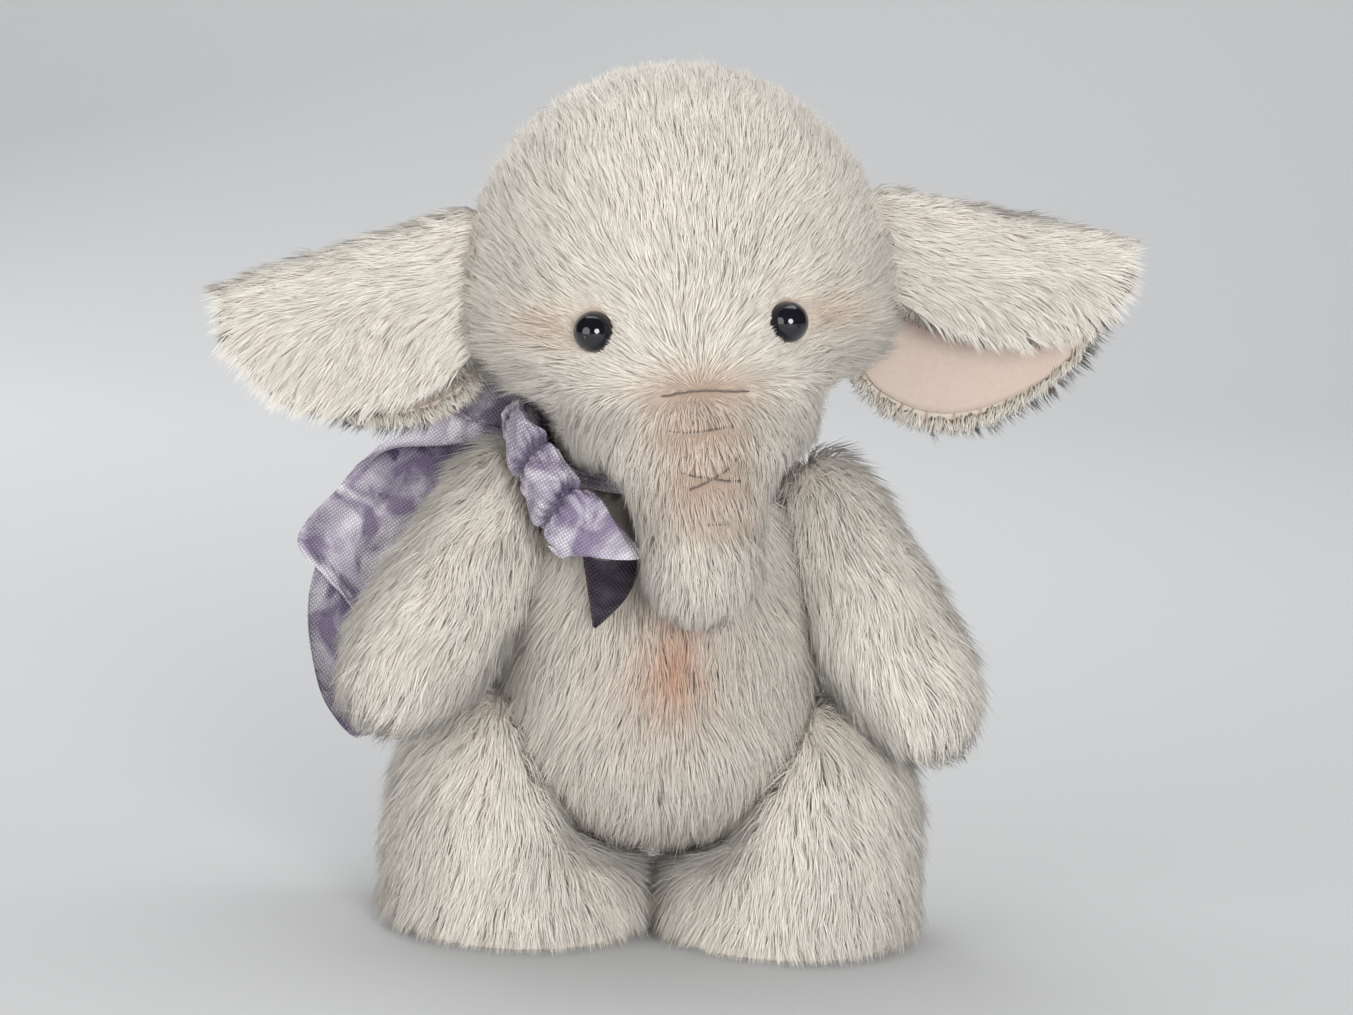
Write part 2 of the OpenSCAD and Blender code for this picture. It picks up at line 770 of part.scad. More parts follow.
function tail_point(s, a) =
  let (
    here = along(tail_line, s),
    way = way_along(tail_line, s),
    away = unit(cross(way, cross([here.x, here.y, 0], way))),
    side = cross(away, way),
    pinch = 1 - tail_pinch * (1 + cos(360 * tail_gathers * s)),
    close = s == 0 || s == 1 ? 0 : 1
  )
  here + close * pinch * (side * tail_w / 2 * along(tail_spread, s) * cos(a)
    + away * tail_t / 2 * along(tail_body, s) * sin(a));

module ribbon_tail() {
  color(ribbon_colour) toy() ring_form(function(s, a) tail_point(s, a), tail_rings, tail_sides);
}

// Eye, half sunk in the ball of the head
function eye_at(side) =
  let (x = out(side) * eye_spread / 2, z = -eye_drop)
  [x, -sqrt(head_r * head_r - x * x - z * z), z];

// Frame of an eye, with z out of the face
module at_eye(side) {
  p = eye_at(side);
  in_head() translate(p) rotate([0, acos(p.z / norm(p)), atan2(p.y, p.x)]) children();
}

// How far the shank is set into the glass, and the room past its end
shank_set = 0.5;
shank_room = 0.5;
shank_end = -eye_d / 2 + shank_set - eye_shank_len;

// Glass ball on a wire shank
module eye(side) {
  color(glass_colour) at_eye(side) {
    sphere(d = eye_d);
    translate([0, 0, shank_end]) cylinder(d = eye_shank_d, h = eye_shank_len);
  }
}

module eye_socket(side) {
  at_eye(side) {
    sphere(d = eye_d + 2 * socket_clear);
    translate([0, 0, shank_end - shank_room])
      cylinder(d = eye_shank_d + 2 * socket_clear, h = eye_shank_len + 2 * shank_room);
  }
}

module left_eye() {
  eye(left);
}

module right_eye() {
  eye(right);
}

module head_skin() {
  color(pile_colour) difference() {
    toy() ring_form(function(s, a) head_point(s, a, 0), head_rings, head_sides);
    toy() ring_form(function(s, a) head_point(s, a, skin_t), head_fill_rings, fill_sides);
    at_neck() limb_seat(neck_disc_d);
    for (side = [left, right]) eye_socket(side);
  }
}

module head_stuffing() {
  color(filling_colour) difference() {
    toy() ring_form(function(s, a) head_point(s, a, skin_t + fill_gap), head_fill_rings, fill_sides);
    at_neck() limb_pocket(neck_disc_d);
    for (side = [left, right]) eye_socket(side);
  }
}

// Ear in the head's frame: the cloth runs up from the lower rim, over the fold and down in front
fold_open = 12;
// Share of its thickness that the ear keeps at its tip, and how late it thins
ear_thin = 0.25;
ear_late = 6;
ear_steps = 12;
ear_rows = 8;
fold_share = [0.34, 0.66];

// Widths behind the fold and in front of it along the ear, as shares of the widest
ear_back_shape = [0.72, 0.94, 1, 0.86, 0.55, 0.12];
ear_front_shape = [0.78, 0.95, 1, 0.93, 0.72, 0.25];
function ear_back(u, flap) = (ear_w - flap) * along(ear_back_shape, u);
function ear_front(u, flap) = flap * along(ear_front_shape, u);

// Point across the ear, o outside its middle layer: distance forward and up from the fold's start
function ear_section(v, back, front, o) =
  let (
    turn = 180 - fold_open,
    over = [ear_fold_r * (1 - cos(turn)) - o * cos(turn), (ear_fold_r + o) * sin(turn)]
  )
  v < fold_share[0] ? [-o, -back * (1 - v / fold_share[0])]
  : v < fold_share[1] ?
    let (a = turn * (v - fold_share[0]) / (fold_share[1] - fold_share[0]))
    [ear_fold_r - (ear_fold_r + o) * cos(a), (ear_fold_r + o) * sin(a)]
  : over + front * (v - fold_share[1]) / (1 - fold_share[1]) * [sin(turn), cos(turn)];

// Distance from the middle plane at which the ear meets the head
function ear_root(y, z) =
  (1 - jaw_in * jaw_share(z)) * sqrt(max(0, pow(head_r + limb_gap, 2) - y * y - z * z));

function ear_point(u, v, o, flap) =
  let (
    droop = tan(ear_droop),
    shrink = max(ear_thin, 1 - pow(u, ear_late)),
    at = ear_section(v, ear_back(u, flap), ear_front(u, flap), o * shrink),
    y = ear_fold_r - at.x,
    z = ear_fold_z + at.y,
    near = ear_root(y, z - droop * (ear_root(y, z) - head_r)),
    root = ear_root(y, z - droop * (near - head_r)),
    x = mix(root, head_r + ear_len, u)
  )
  [x, y, z - droop * (x - head_r)];

module ear_layer(side, flap, inner, outer) {
  in_head() on_side(side)
    sheet_form(function(u, v, k) ear_point(u, v, k == 0 ? outer : inner, flap), ear_rows, ear_steps);
}

module left_ear() {
  color(pile_colour) ear_layer(left, left_flap, seam_gap / 2, ear_pile_t);
}

module right_ear() {
  color(pile_colour) ear_layer(right, right_flap, seam_gap / 2, ear_pile_t);
}

module left_ear_lining() {
  color(lining_colour) ear_layer(left, left_flap, -ear_lining_t, -seam_gap / 2);
}

module right_ear_lining() {
  color(lining_colour) ear_layer(right, right_flap, -ear_lining_t, -seam_gap / 2);
}

module neck_head_disc() {
  at_neck() limb_disc(neck_disc_d);
}

module neck_head_washer() {
  at_neck() limb_washer();
}

module neck_bolt() {
  at_neck() joint_bolt();
}

module neck_lock_nut() {
  at_neck() lock_nut();
}

// Arms
module arm_skin(side, swing) {
  color(pile_colour) at_shoulder(side, swing) difference() {
    ring_form(function(s, a) arm_point(s, a, 0), limb_rings, limb_sides);
    ring_form(function(s, a) arm_point(s, a, skin_t), fill_rings, fill_sides);
    limb_seat(disc_d);
  }
}

module arm_stuffing(side, swing) {
  color(filling_colour) at_shoulder(side, swing) difference() {
    ring_form(function(s, a) arm_point(s, a, skin_t + fill_gap), fill_rings, fill_sides);
    limb_pocket(disc_d);
  }
}

module left_arm_skin() {
  arm_skin(left, left_arm_swing);
}

module left_arm_stuffing() {
  arm_stuffing(left, left_arm_swing);
}

module left_arm_disc() {
  at_shoulder(left) limb_disc(disc_d);
}

module left_arm_washer() {
  at_shoulder(left) limb_washer();
}

module left_arm_bolt() {
  at_shoulder(left) joint_bolt();
}

module left_arm_lock_nut() {
  at_shoulder(left) lock_nut();
}

module right_arm_skin() {
  arm_skin(right, right_arm_swing);
}

module right_arm_stuffing() {
  arm_stuffing(right, right_arm_swing);
}

module right_arm_disc() {
  at_shoulder(right) limb_disc(disc_d);
}

module right_arm_washer() {
  at_shoulder(right) limb_washer();
}

module right_arm_bolt() {
  at_shoulder(right) joint_bolt();
}

module right_arm_lock_nut() {
  at_shoulder(right) lock_nut();
}

// Legs
leg_base = sole_t + seam_gap;
leg_open = leg_base - cut_past;

// Left leg's outer form, and its inner form t below it
function leg_outer(s, a) = leg_point(s, a, 0, leg_base, limb_rings);
function leg_inner(s, a, t) = leg_point(s, a, t, leg_open, fill_rings);

module at_foot(side) {
  toy() translate([out(side) * foot_x, -foot_out, 0]) children();
}

module leg_skin(side) {
  color(pile_colour) difference() {
    toy() on_side(side) difference() {
      ring_form(function(s, a) leg_outer(s, a), limb_rings, leg_sides);
      ring_form(function(s, a) leg_inner(s, a, skin_t), fill_rings, fill_sides);
    }
    at_hip(side) limb_seat(disc_d);
  }
}

module leg_stuffing(side) {
  color(filling_colour) difference() {
    toy() on_side(side)
      ring_form(function(s, a) leg_inner(s, a, skin_t + fill_gap), fill_rings, fill_sides);
    at_foot(side) cylinder(d = 2 * foot_d, h = sole_t + fill_gap);
    at_hip(side) limb_pocket(disc_d);
  }
}

// Sole, a round of cloth over board with a softened rim
module leg_sole(side) {
  r = foot_d / 2;
  color(lining_colour) at_foot(side) rotate_extrude()
    polygon([[0, 0], [r - sole_rim, 0], [r, sole_rim], [r, sole_t], [0, sole_t]]);
}

module left_leg_skin() {
  leg_skin(left);
}

module left_leg_stuffing() {
  leg_stuffing(left);
}

module left_leg_sole() {
  leg_sole(left);
}

module left_leg_disc() {
  at_hip(left) limb_disc(disc_d);
}

module left_leg_washer() {
  at_hip(left) limb_washer();
}

module left_leg_bolt() {
  at_hip(left) joint_bolt();
}

module left_leg_lock_nut() {
  at_hip(left) lock_nut();
}

module right_leg_skin() {
  leg_skin(right);
}

module right_leg_stuffing() {
  leg_stuffing(right);
}

module right_leg_sole() {
  leg_sole(right);
}

module right_leg_disc() {
  at_hip(right) limb_disc(disc_d);
}

module right_leg_washer() {
  at_hip(right) limb_washer();
}

module right_leg_bolt() {
  at_hip(right) joint_bolt();
}

module right_leg_lock_nut() {
  at_hip(right) lock_nut();
}

body_skin();
body_stuffing();
neck_body_disc();
left_shoulder_body_disc();
right_shoulder_body_disc();
left_hip_body_disc();
right_hip_body_disc();
body_washers();
ribbon_band();
ribbon_knot();
ribbon_loop();
ribbon_tail();
head_skin();
head_stuffing();
left_eye();
right_eye();
left_ear();
right_ear();
left_ear_lining();
right_ear_lining();
neck_head_disc();
neck_head_washer();
neck_bolt();
neck_lock_nut();
left_arm_skin();
left_arm_stuffing();
left_arm_disc();
left_arm_washer();
left_arm_bolt();
left_arm_lock_nut();
right_arm_skin();
right_arm_stuffing();
right_arm_disc();
right_arm_washer();
right_arm_bolt();
right_arm_lock_nut();
left_leg_skin();
left_leg_stuffing();
left_leg_sole();
left_leg_disc();
left_leg_washer();
left_leg_bolt();
left_leg_lock_nut();
right_leg_skin();
right_leg_stuffing();
right_leg_sole();
right_leg_disc();
right_leg_washer();
right_leg_bolt();
right_leg_lock_nut();
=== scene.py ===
import math

import bmesh
import bpy
import numpy as np
from mathutils import Matrix, Vector
from mathutils.bvhtree import BVHTree
from mathutils.kdtree import KDTree


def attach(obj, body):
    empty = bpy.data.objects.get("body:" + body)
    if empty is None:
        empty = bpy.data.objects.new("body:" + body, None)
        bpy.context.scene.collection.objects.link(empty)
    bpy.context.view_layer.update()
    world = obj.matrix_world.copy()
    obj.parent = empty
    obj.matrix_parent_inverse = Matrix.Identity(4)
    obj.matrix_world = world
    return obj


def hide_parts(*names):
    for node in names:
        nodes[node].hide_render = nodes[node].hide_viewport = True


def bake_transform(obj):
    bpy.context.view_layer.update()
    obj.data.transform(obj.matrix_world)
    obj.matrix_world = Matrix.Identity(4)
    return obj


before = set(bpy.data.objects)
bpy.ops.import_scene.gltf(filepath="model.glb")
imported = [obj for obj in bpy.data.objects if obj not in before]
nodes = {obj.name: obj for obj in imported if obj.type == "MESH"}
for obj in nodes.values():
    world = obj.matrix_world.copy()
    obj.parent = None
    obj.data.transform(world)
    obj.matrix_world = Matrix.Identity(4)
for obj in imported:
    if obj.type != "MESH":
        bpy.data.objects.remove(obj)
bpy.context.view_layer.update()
scene = bpy.context.scene


# Camera: a short telephoto view from the front, a little above the toy,
# rolled so that the toy leans as it does in the photograph.
PHOTO_WIDTH_PX = 1353
FOCAL_LENGTH_PX = 3848
SENSOR_WIDTH = 36
CAMERA_AT = Vector((0, -0.7545, 0.210))
CAMERA_AIM = Vector((0, 0.0055, 0.090))
CAMERA_ROLL = math.radians(2.5)
camera_data = bpy.data.cameras.new("camera")
camera_data.sensor_fit = "AUTO"
camera_data.sensor_width = SENSOR_WIDTH
camera_data.lens = SENSOR_WIDTH * FOCAL_LENGTH_PX / PHOTO_WIDTH_PX
camera_data.shift_x = 0.0061
camera_data.shift_y = -0.0169
camera_data.clip_start = 0.05
camera_data.clip_end = 20
camera = bpy.data.objects.new("camera", camera_data)
scene.collection.objects.link(camera)
forward = (CAMERA_AIM - CAMERA_AT).normalized()
level = Vector((1, 0, 0))
upright = level.cross(forward)
camera_right = level * math.cos(CAMERA_ROLL) + upright * math.sin(CAMERA_ROLL)
camera_up = upright * math.cos(CAMERA_ROLL) - level * math.sin(CAMERA_ROLL)
camera_axes = Matrix((camera_right, camera_up, -forward)).transposed()
camera.matrix_world = Matrix.Translation(CAMERA_AT) @ camera_axes.to_4x4()
scene.camera = camera


# Studio: a pale floor that runs up into a pale backdrop, a round key light near the camera's axis,
# a broad low fill from the other side, soft light from above and behind, and one for the backdrop.
def area_light(name, at, aim, size, watts):
    data = bpy.data.lights.new(name, "AREA")
    data.shape = "DISK"
    data.size = size
    data.energy = watts
    light = bpy.data.objects.new(name, data)
    light.location = at
    light.rotation_euler = (Vector(aim) - Vector(at)).to_track_quat("-Z", "Y").to_euler()
    scene.collection.objects.link(light)


area_light("key_light", (0.26, -0.95, 0.30), (0, 0, 0.06), 0.45, 5.9)
area_light("fill_light", (-0.70, -0.75, 0.20), (0, 0, 0.05), 0.8, 3.7)
area_light("top_light", (0.05, 0.25, 0.95), (0, 0, 0.08), 0.8, 0.8)
area_light("back_light", (-0.45, 0.75, 0.55), (0, 0, 0.10), 0.7, 2)
area_light("backdrop_light", (0, 0.35, 1.15), (0, 1.25, 0.35), 1.2, 6)

world = bpy.data.worlds.new("studio_air")
scene.world = world
world.use_nodes = True
air = world.node_tree
air.nodes.clear()


def air_of(colour, strength):
    node = air.nodes.new("ShaderNodeBackground")
    node.inputs["Color"].default_value = (*colour, 1)
    node.inputs["Strength"].default_value = strength
    return node.outputs[0]


AIR_LIGHT = ((1.0, 0.99, 0.98), 0.42)
AIR_SEEN = ((0.93, 0.93, 0.93), 0.29)
AIR_SHINE = ((0.8, 0.8, 0.8), 0.06)
air_rays = air.nodes.new("ShaderNodeLightPath")
air_look = air_of(*AIR_LIGHT)
for ray, other in (("Is Camera Ray", AIR_SEEN), ("Is Glossy Ray", AIR_SHINE)):
    air_mix = air.nodes.new("ShaderNodeMixShader")
    air.links.new(air_rays.outputs[ray], air_mix.inputs[0])
    air.links.new(air_look, air_mix.inputs[1])
    air.links.new(air_of(*other), air_mix.inputs[2])
    air_look = air_mix.outputs[0]
air_out = air.nodes.new("ShaderNodeOutputWorld")
air.links.new(air_look, air_out.inputs["Surface"])

scene.view_settings.view_transform = "Standard"


def new_material(name, settings):
    material = bpy.data.materials.new(name)
    material.use_nodes = True
    tree = material.node_tree
    shader = tree.nodes["Principled BSDF"]
    for label, value in settings.items():
        shader.inputs[label].default_value = value
    return material, tree, shader


FLOOR_HALF = 2.4
BEND_START, BEND_R, BEND_STEPS = 0.8, 0.7, 16
BACKDROP_TOP = 4
bend_angles = [math.radians(90 * k / BEND_STEPS) for k in range(1, BEND_STEPS + 1)]
sweep = [(-FLOOR_HALF, 0), (BEND_START, 0)]
sweep += [(BEND_START + BEND_R * math.sin(a), BEND_R - BEND_R * math.cos(a)) for a in bend_angles]
sweep += [(BEND_START + BEND_R, BACKDROP_TOP)]
floor_verts = [(x, y, z) for y, z in sweep for x in (-FLOOR_HALF, FLOOR_HALF)]
floor_faces = [(2 * i, 2 * i + 1, 2 * i + 3, 2 * i + 2) for i in range(len(sweep) - 1)]
floor_mesh = bpy.data.meshes.new("studio_floor")
floor_mesh.from_pydata(floor_verts, [], floor_faces)
floor_mesh.shade_smooth()
floor = bpy.data.objects.new("studio_floor", floor_mesh)
scene.collection.objects.link(floor)
floor_paint, _, _ = new_material("studio_paint", {
    "Base Color": (0.64, 0.65, 0.66, 1), "Roughness": 0.9, "Specular IOR Level": 0.1})
floor_mesh.materials.append(floor_paint)


# Body: an egg of pile cloth on a knitted backing, cut in gussets, sewn, turned and stuffed firm, and
# pressed flat where the head, arms and legs are bolted on. Forms are in millimetres from the neck's
# upright axis, and lie a little inside the cloth's outer face, so that the pile stands on them.
MM = 0.001
AXIS = np.array([0, 5.5, 0])
BACKING_T = 1.0
BODY_INSET = 1.6
BODY_HALF_W, BODY_HALF_D = 30, 28
BELLY_Z, BODY_DROP, BODY_RISE = 46, 26.5, 50
BELLY_SQUARE, CHEST_SQUARE = 2.1, 2.8
NECK_Z = 93.0
SHOULDER, SHOULDER_TILT = np.array([23.5, 0, 79.5]), math.radians(25)
HIP, HIP_TILT = np.array([22.5, 0, 30]), math.radians(23)


def feed(tree, socket, value):
    """Link a socket to another one, or set it to a plain value or colour."""
    if isinstance(value, bpy.types.NodeSocket):
        tree.links.new(value, socket)
    else:
        socket.default_value = (*value, 1) if isinstance(value, tuple) else value


def mixed(tree, kind, fac, a, b):
    node = tree.nodes.new("ShaderNodeMix")
    node.data_type = "RGBA"
    node.blend_type = kind
    for label, value in (("Factor", fac), ("A", a), ("B", b)):
        feed(tree, node.inputs[label], value)
    return node.outputs["Result"]


def carried(tree, name):
    """A mask that every point of a mesh carries."""
    node = tree.nodes.new("ShaderNodeAttribute")
    node.attribute_name = name
    return node.outputs["Fac"]


KNIT_DARK, KNIT_PALE, KNIT_SHADE = (0.70, 0.61, 0.51), (0.82, 0.74, 0.64), (0.40, 0.30, 0.235)
backing, backing_tree, backing_shader = new_material("pile_backing", {"Roughness": 0.9})
backing_place = backing_tree.nodes.new("ShaderNodeTexCoord")
backing_knit = backing_tree.nodes.new("ShaderNodeTexVoronoi")
backing_knit.inputs["Scale"].default_value = 1100
backing_tree.links.new(backing_place.outputs["Object"], backing_knit.inputs["Vector"])
backing_colour = mixed(backing_tree, "MIX", backing_knit.outputs["Distance"], KNIT_DARK, KNIT_PALE)
# Where a skin carries the mask, the backing turns dark brown as painted shade.
backing_colour = mixed(backing_tree, "MIX", carried(backing_tree, "airbrush_and_shade"), backing_colour, KNIT_SHADE)
backing_tree.links.new(backing_colour, backing_shader.inputs["Base Color"])


def ease(k):
    c = np.clip(k, 0, 1)
    return c * c * (3 - 2 * c)


def signed_power(v, e):
    return np.sign(v) * np.abs(v) ** e


def pressed(p, n, c):
    """Points brought back to a plane, with its normal and distance given, where they stand past it."""
    n = np.asarray(n, float)
    return p - np.maximum(0, p @ n - c)[..., None] * n


def unit(v):
    return v / np.maximum(np.linalg.norm(v, axis=-1, keepdims=True), 1e-9)


def ring_form(point, rings, sides):
    """A closed form of rings, each point given by its share of the way from pole to pole and its angle."""
    s = np.arange(1, rings) / rings
    a = 2 * np.pi * np.arange(sides) / sides
    body = point(np.repeat(s, sides), np.tile(a, rings - 1))
    verts = np.concatenate([point(np.zeros(1), np.zeros(1)), body, point(np.ones(1), np.zeros(1))])
    i, j = np.meshgrid(np.arange(rings - 2), np.arange(sides), indexing="ij")
    i, j, k = i.ravel(), j.ravel(), ((j + 1) % sides).ravel()
    p, q = 1 + i * sides, 1 + (i + 1) * sides
    around, after = np.arange(sides), (np.arange(sides) + 1) % sides
    last = len(verts) - 1
    tris = np.concatenate([
        np.stack([np.zeros(sides, int), 1 + after, 1 + around], 1),
        np.stack([p + j, p + k, q + k], 1),
        np.stack([p + j, q + k, q + j], 1),
        np.stack([np.full(sides, last), last - sides + around, last - sides + after], 1),
    ])
    return verts, tris


def outward(verts, tris):
    a, b, c = (verts[tris[:, k]] for k in range(3))
    return tris if (a * np.cross(b, c)).sum() > 0 else tris[:, ::-1]


def vertex_normals(verts, tris):
    a, b, c = (verts[tris[:, k]] for k in range(3))
    n = np.cross(b - a, c - a)
    total = np.zeros_like(verts)
    for k in range(3):
        np.add.at(total, tris[:, k], n)
    return unit(total)


def relaxed(verts, tris, rounds, share=0.5):
    """Evens out sharp places by moving points to and fro, so that the form keeps its size."""
    e = np.concatenate([tris[:, [0, 1]], tris[:, [1, 2]], tris[:, [2, 0]]])
    e = np.unique(np.sort(e, axis=1), axis=0)
    count = np.zeros(len(verts))
    np.add.at(count, e[:, 0], 1)
    np.add.at(count, e[:, 1], 1)
    for way in [share, -share * 1.04] * rounds:
        total = np.zeros_like(verts)
        np.add.at(total, e[:, 0], verts[e[:, 1]])
        np.add.at(total, e[:, 1], verts[e[:, 0]])
        verts = verts + way * (total / count[:, None] - verts)
    return verts


def soft_form(point, rings, sides, rounds):
    verts, tris = ring_form(point, rings, sides)
    tris = outward(verts, tris)
    return relaxed(verts, tris, rounds), tris


def add_mesh(name, verts, faces, material):
    mesh = bpy.data.meshes.new(name)
    mesh.from_pydata((np.asarray(verts) + AXIS) * MM, [], [tuple(map(int, f)) for f in faces])
    mesh.shade_smooth()
    mesh.materials.append(material)
    piece = bpy.data.objects.new(name, mesh)
    scene.collection.objects.link(piece)
    return piece


def tree_of(verts, tris):
    tree = BVHTree.FromPolygons([tuple(v) for v in verts], [tuple(map(int, t)) for t in tris])
    return tree, verts.min(0), verts.max(0)


forms, skins = {}, {}


def stuffed_skin(name, form, body):
    """A closed shell of backing, kept as the ground for its pile and as something other pile avoids."""
    verts, tris = form
    inner = verts - vertex_normals(verts, tris) * BACKING_T
    faces = np.concatenate([tris, tris[:, ::-1] + len(verts)])
    skin = add_mesh(name + "_cloth", np.concatenate([verts, inner]), faces, backing)
    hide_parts(name + "_skin")
    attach(skin, body)
    forms[name] = form
    skins[name] = tree_of(verts, tris)
    return skin


def body_point(s, a):
    lat = np.pi * s - np.pi / 2
    e = np.where(lat > 0, 2 / CHEST_SQUARE, 2 / BELLY_SQUARE)
    rise = np.where(lat > 0, BODY_RISE, BODY_DROP) - BODY_INSET
    wide = np.maximum(0, np.cos(lat)) ** e
    x = (BODY_HALF_W - BODY_INSET) * wide * np.cos(a)
    y = (BODY_HALF_D - BODY_INSET) * wide * np.sin(a)
    p = np.stack([x, y, BELLY_Z + rise * signed_power(np.sin(lat), e)], -1)
    p = pressed(p, (0, 0, 1), NECK_Z - BODY_INSET)
    for side in (1, -1):
        for joint, tilt in ((SHOULDER, SHOULDER_TILT), (HIP, -HIP_TILT)):
            n = np.array([side * math.cos(tilt), 0, math.sin(tilt)])
            p = pressed(p, n, joint * (side, 1, 1) @ n - BODY_INSET)
    return p


stuffed_skin("body", soft_form(body_point, 60, 72, 6), "torso")


# Head: a ball of the same cloth with the trunk in one with it, the cheeks drawn in at the jaw.
# It is stuffed firm and bolted to the body's neck. Stitches drawn through the trunk make its wrinkles.
HEAD_INSET = 1.6
HEAD_Z, HEAD_R = 132.0, 40.6
HEAD_TURN, HEAD_TILT = math.radians(4), math.radians(5)
TRUNK_FRONT, TRUNK_BACK, TRUNK_TIP = -51.6, -28.6, -61
TRUNK_HALF_W, MUZZLE_HALF_W = 11, 18
TIP_RINGS, TRUNK_RINGS, BALL_RINGS = 3, 4, 13
BRIDGE_ANGLE, CROWN_ANGLE = -32, 100
JAW_IN = 0.18
EYE = np.array([18.4, -35.7, -6.0])


def head_pose(p):
    x = p[..., 0] * math.cos(HEAD_TILT) - p[..., 2] * math.sin(HEAD_TILT)
    z = p[..., 0] * math.sin(HEAD_TILT) + p[..., 2] * math.cos(HEAD_TILT)
    return np.stack([x * math.cos(HEAD_TURN) - p[..., 1] * math.sin(HEAD_TURN),
                     x * math.sin(HEAD_TURN) + p[..., 1] * math.cos(HEAD_TURN), z + HEAD_Z], -1)


def head_unpose(p):
    x = p[..., 0] * math.cos(HEAD_TURN) + p[..., 1] * math.sin(HEAD_TURN)
    y = -p[..., 0] * math.sin(HEAD_TURN) + p[..., 1] * math.cos(HEAD_TURN)
    z = p[..., 2] - HEAD_Z
    return np.stack([x * math.cos(HEAD_TILT) + z * math.sin(HEAD_TILT), y,
                     -x * math.sin(HEAD_TILT) + z * math.cos(HEAD_TILT)], -1)


def jaw_share(z):
    return ease((-z / HEAD_R - 0.2) / 0.35) * ease((0.88 + z / HEAD_R) / 0.3)


def head_ring(i):
    """Front point, back point, half width and share of muzzle of one ring, up from the trunk's tip."""
    r = HEAD_R - HEAD_INSET
    front, back = TRUNK_FRONT + HEAD_INSET, TRUNK_BACK - HEAD_INSET
    half_d, tip = (back - front) / 2, TRUNK_TIP + HEAD_INSET
    throat_angle = -math.acos(-TRUNK_BACK / HEAD_R)
    throat = r * math.sin(throat_angle)
    if i <= TIP_RINGS:
        e = math.radians(90 * i / TIP_RINGS)
        z, mid = tip + half_d * (1 - math.cos(e)), (front + back) / 2
        half_w = (TRUNK_HALF_W - HEAD_INSET) * math.sin(e)
        return (mid - half_d * math.sin(e), z), (mid + half_d * math.sin(e), z), half_w, 1
    if i <= TIP_RINGS + TRUNK_RINGS:
        k = (i - TIP_RINGS) / TRUNK_RINGS
        z = tip + half_d + (throat - tip - half_d) * k
        return (front, z), (back, z), TRUNK_HALF_W + 2.5 * k + 4.5 * k ** 3 - HEAD_INSET, 1
    k = (i - TIP_RINGS - TRUNK_RINGS) / BALL_RINGS
    fade = 1 - float(ease(k / 0.3))
    face_angle = math.radians(BRIDGE_ANGLE + (CROWN_ANGLE - BRIDGE_ANGLE) * k)
    nape_angle = throat_angle + (math.radians(CROWN_ANGLE - 360) - throat_angle) * k
    face = (-r * math.cos(face_angle), r * math.sin(face_angle))
    snout = (front, throat + (face[1] - throat) * 0.6)
    face = (face[0] + (snout[0] - face[0]) * fade, face[1] + (snout[1] - face[1]) * fade)
    half_w = r * math.sin((face_angle - nape_angle) / 2)
    half_w = math.sqrt(max(0, half_w ** 2 + fade * (MUZZLE_HALF_W - HEAD_INSET) ** 2))
    return face, (-r * math.cos(nape_angle), r * math.sin(nape_angle)), half_w, fade


def head_point(s, a):
    out = []
    for si, ai in zip(s, a):
        i = si * (TIP_RINGS + TRUNK_RINGS + BALL_RINGS)
        f, b, w, snout = head_ring(i)
        z = (f[1] + b[1]) / 2 + (b[1] - f[1]) / 2 * math.sin(ai)
        w *= 1 - JAW_IN * (1 - snout) * float(jaw_share(z))
        y = (f[0] + b[0]) / 2 + (b[0] - f[0]) / 2 * math.sin(ai)
        p = head_pose(np.array([w * math.cos(ai), y, z]))
        if i > TIP_RINGS + TRUNK_RINGS:
            p[2] = max(p[2], NECK_Z + 0.4 + HEAD_INSET)
        out.append(p)
    return np.array(out)


def clipped_share(own):
    """How far the pile is clipped, down the front of the trunk."""
    strip = np.exp(-np.abs(own[:, 0] / 9.5) ** 2.6) * (own[:, 1] < -36)
    return strip * ease((own[:, 2] + 46) / 8) * ease((-11 - own[:, 2]) / 5)


def eye_distance(own):
    return np.min([np.linalg.norm(own - EYE * (side, 1, 1), axis=1) for side in (1, -1)], axis=0)


def carry(mesh, name, values):
    mesh.attributes.new(name, "FLOAT", "POINT").data.foreach_set("value", np.asarray(values, np.float32))


head_skin = stuffed_skin("head", soft_form(head_point, 100, 80, 8), "head")
own = head_unpose(forms["head"][0])
# The bare backing is coloured dark brown down the clipped front of the trunk and round the eyes, as painted
# shade in the hollows there.
worn = np.maximum(clipped_share(own), np.exp(-(eye_distance(own) / 5.2) ** 4))
carry(head_skin.data, "airbrush_and_shade", np.tile(worn, 2))


def curve_through(points, k):
    """A smooth curve or value through a list, at a share of the way along."""
    points = np.asarray(points, float)
    if points.ndim == 1:
        points = points[:, None]
    k = np.clip(np.asarray(k, float), 0, 1)
    last = len(points) - 1
    i = np.minimum(last - 1, np.floor(k * last).astype(int))
    f = (k * last - i)[..., None]
    a, b, c, d = (points[np.clip(i + o, 0, last)] for o in (-1, 0, 1, 2))
    bends = (2 * a - 5 * b + 4 * c - d) * f ** 2 + (3 * b - a - 3 * c + d) * f ** 3
    out = 0.5 * (2 * b + (c - a) * f + bends)
    return out[..., 0] if out.shape[-1] == 1 else out


def thread_material(name, colour, worn):
    thread, tree, shader = new_material(name, {"Roughness": 0.7})
    place = tree.nodes.new("ShaderNodeTexCoord")
    twist = tree.nodes.new("ShaderNodeTexWave")
    twist.inputs["Scale"].default_value = 900
    twist.inputs["Distortion"].default_value = 3
    tree.links.new(place.outputs["Object"], twist.inputs["Vector"])
    tree.links.new(mixed(tree, "MIX", twist.outputs["Fac"], colour, worn), shader.inputs["Base Color"])
    return thread


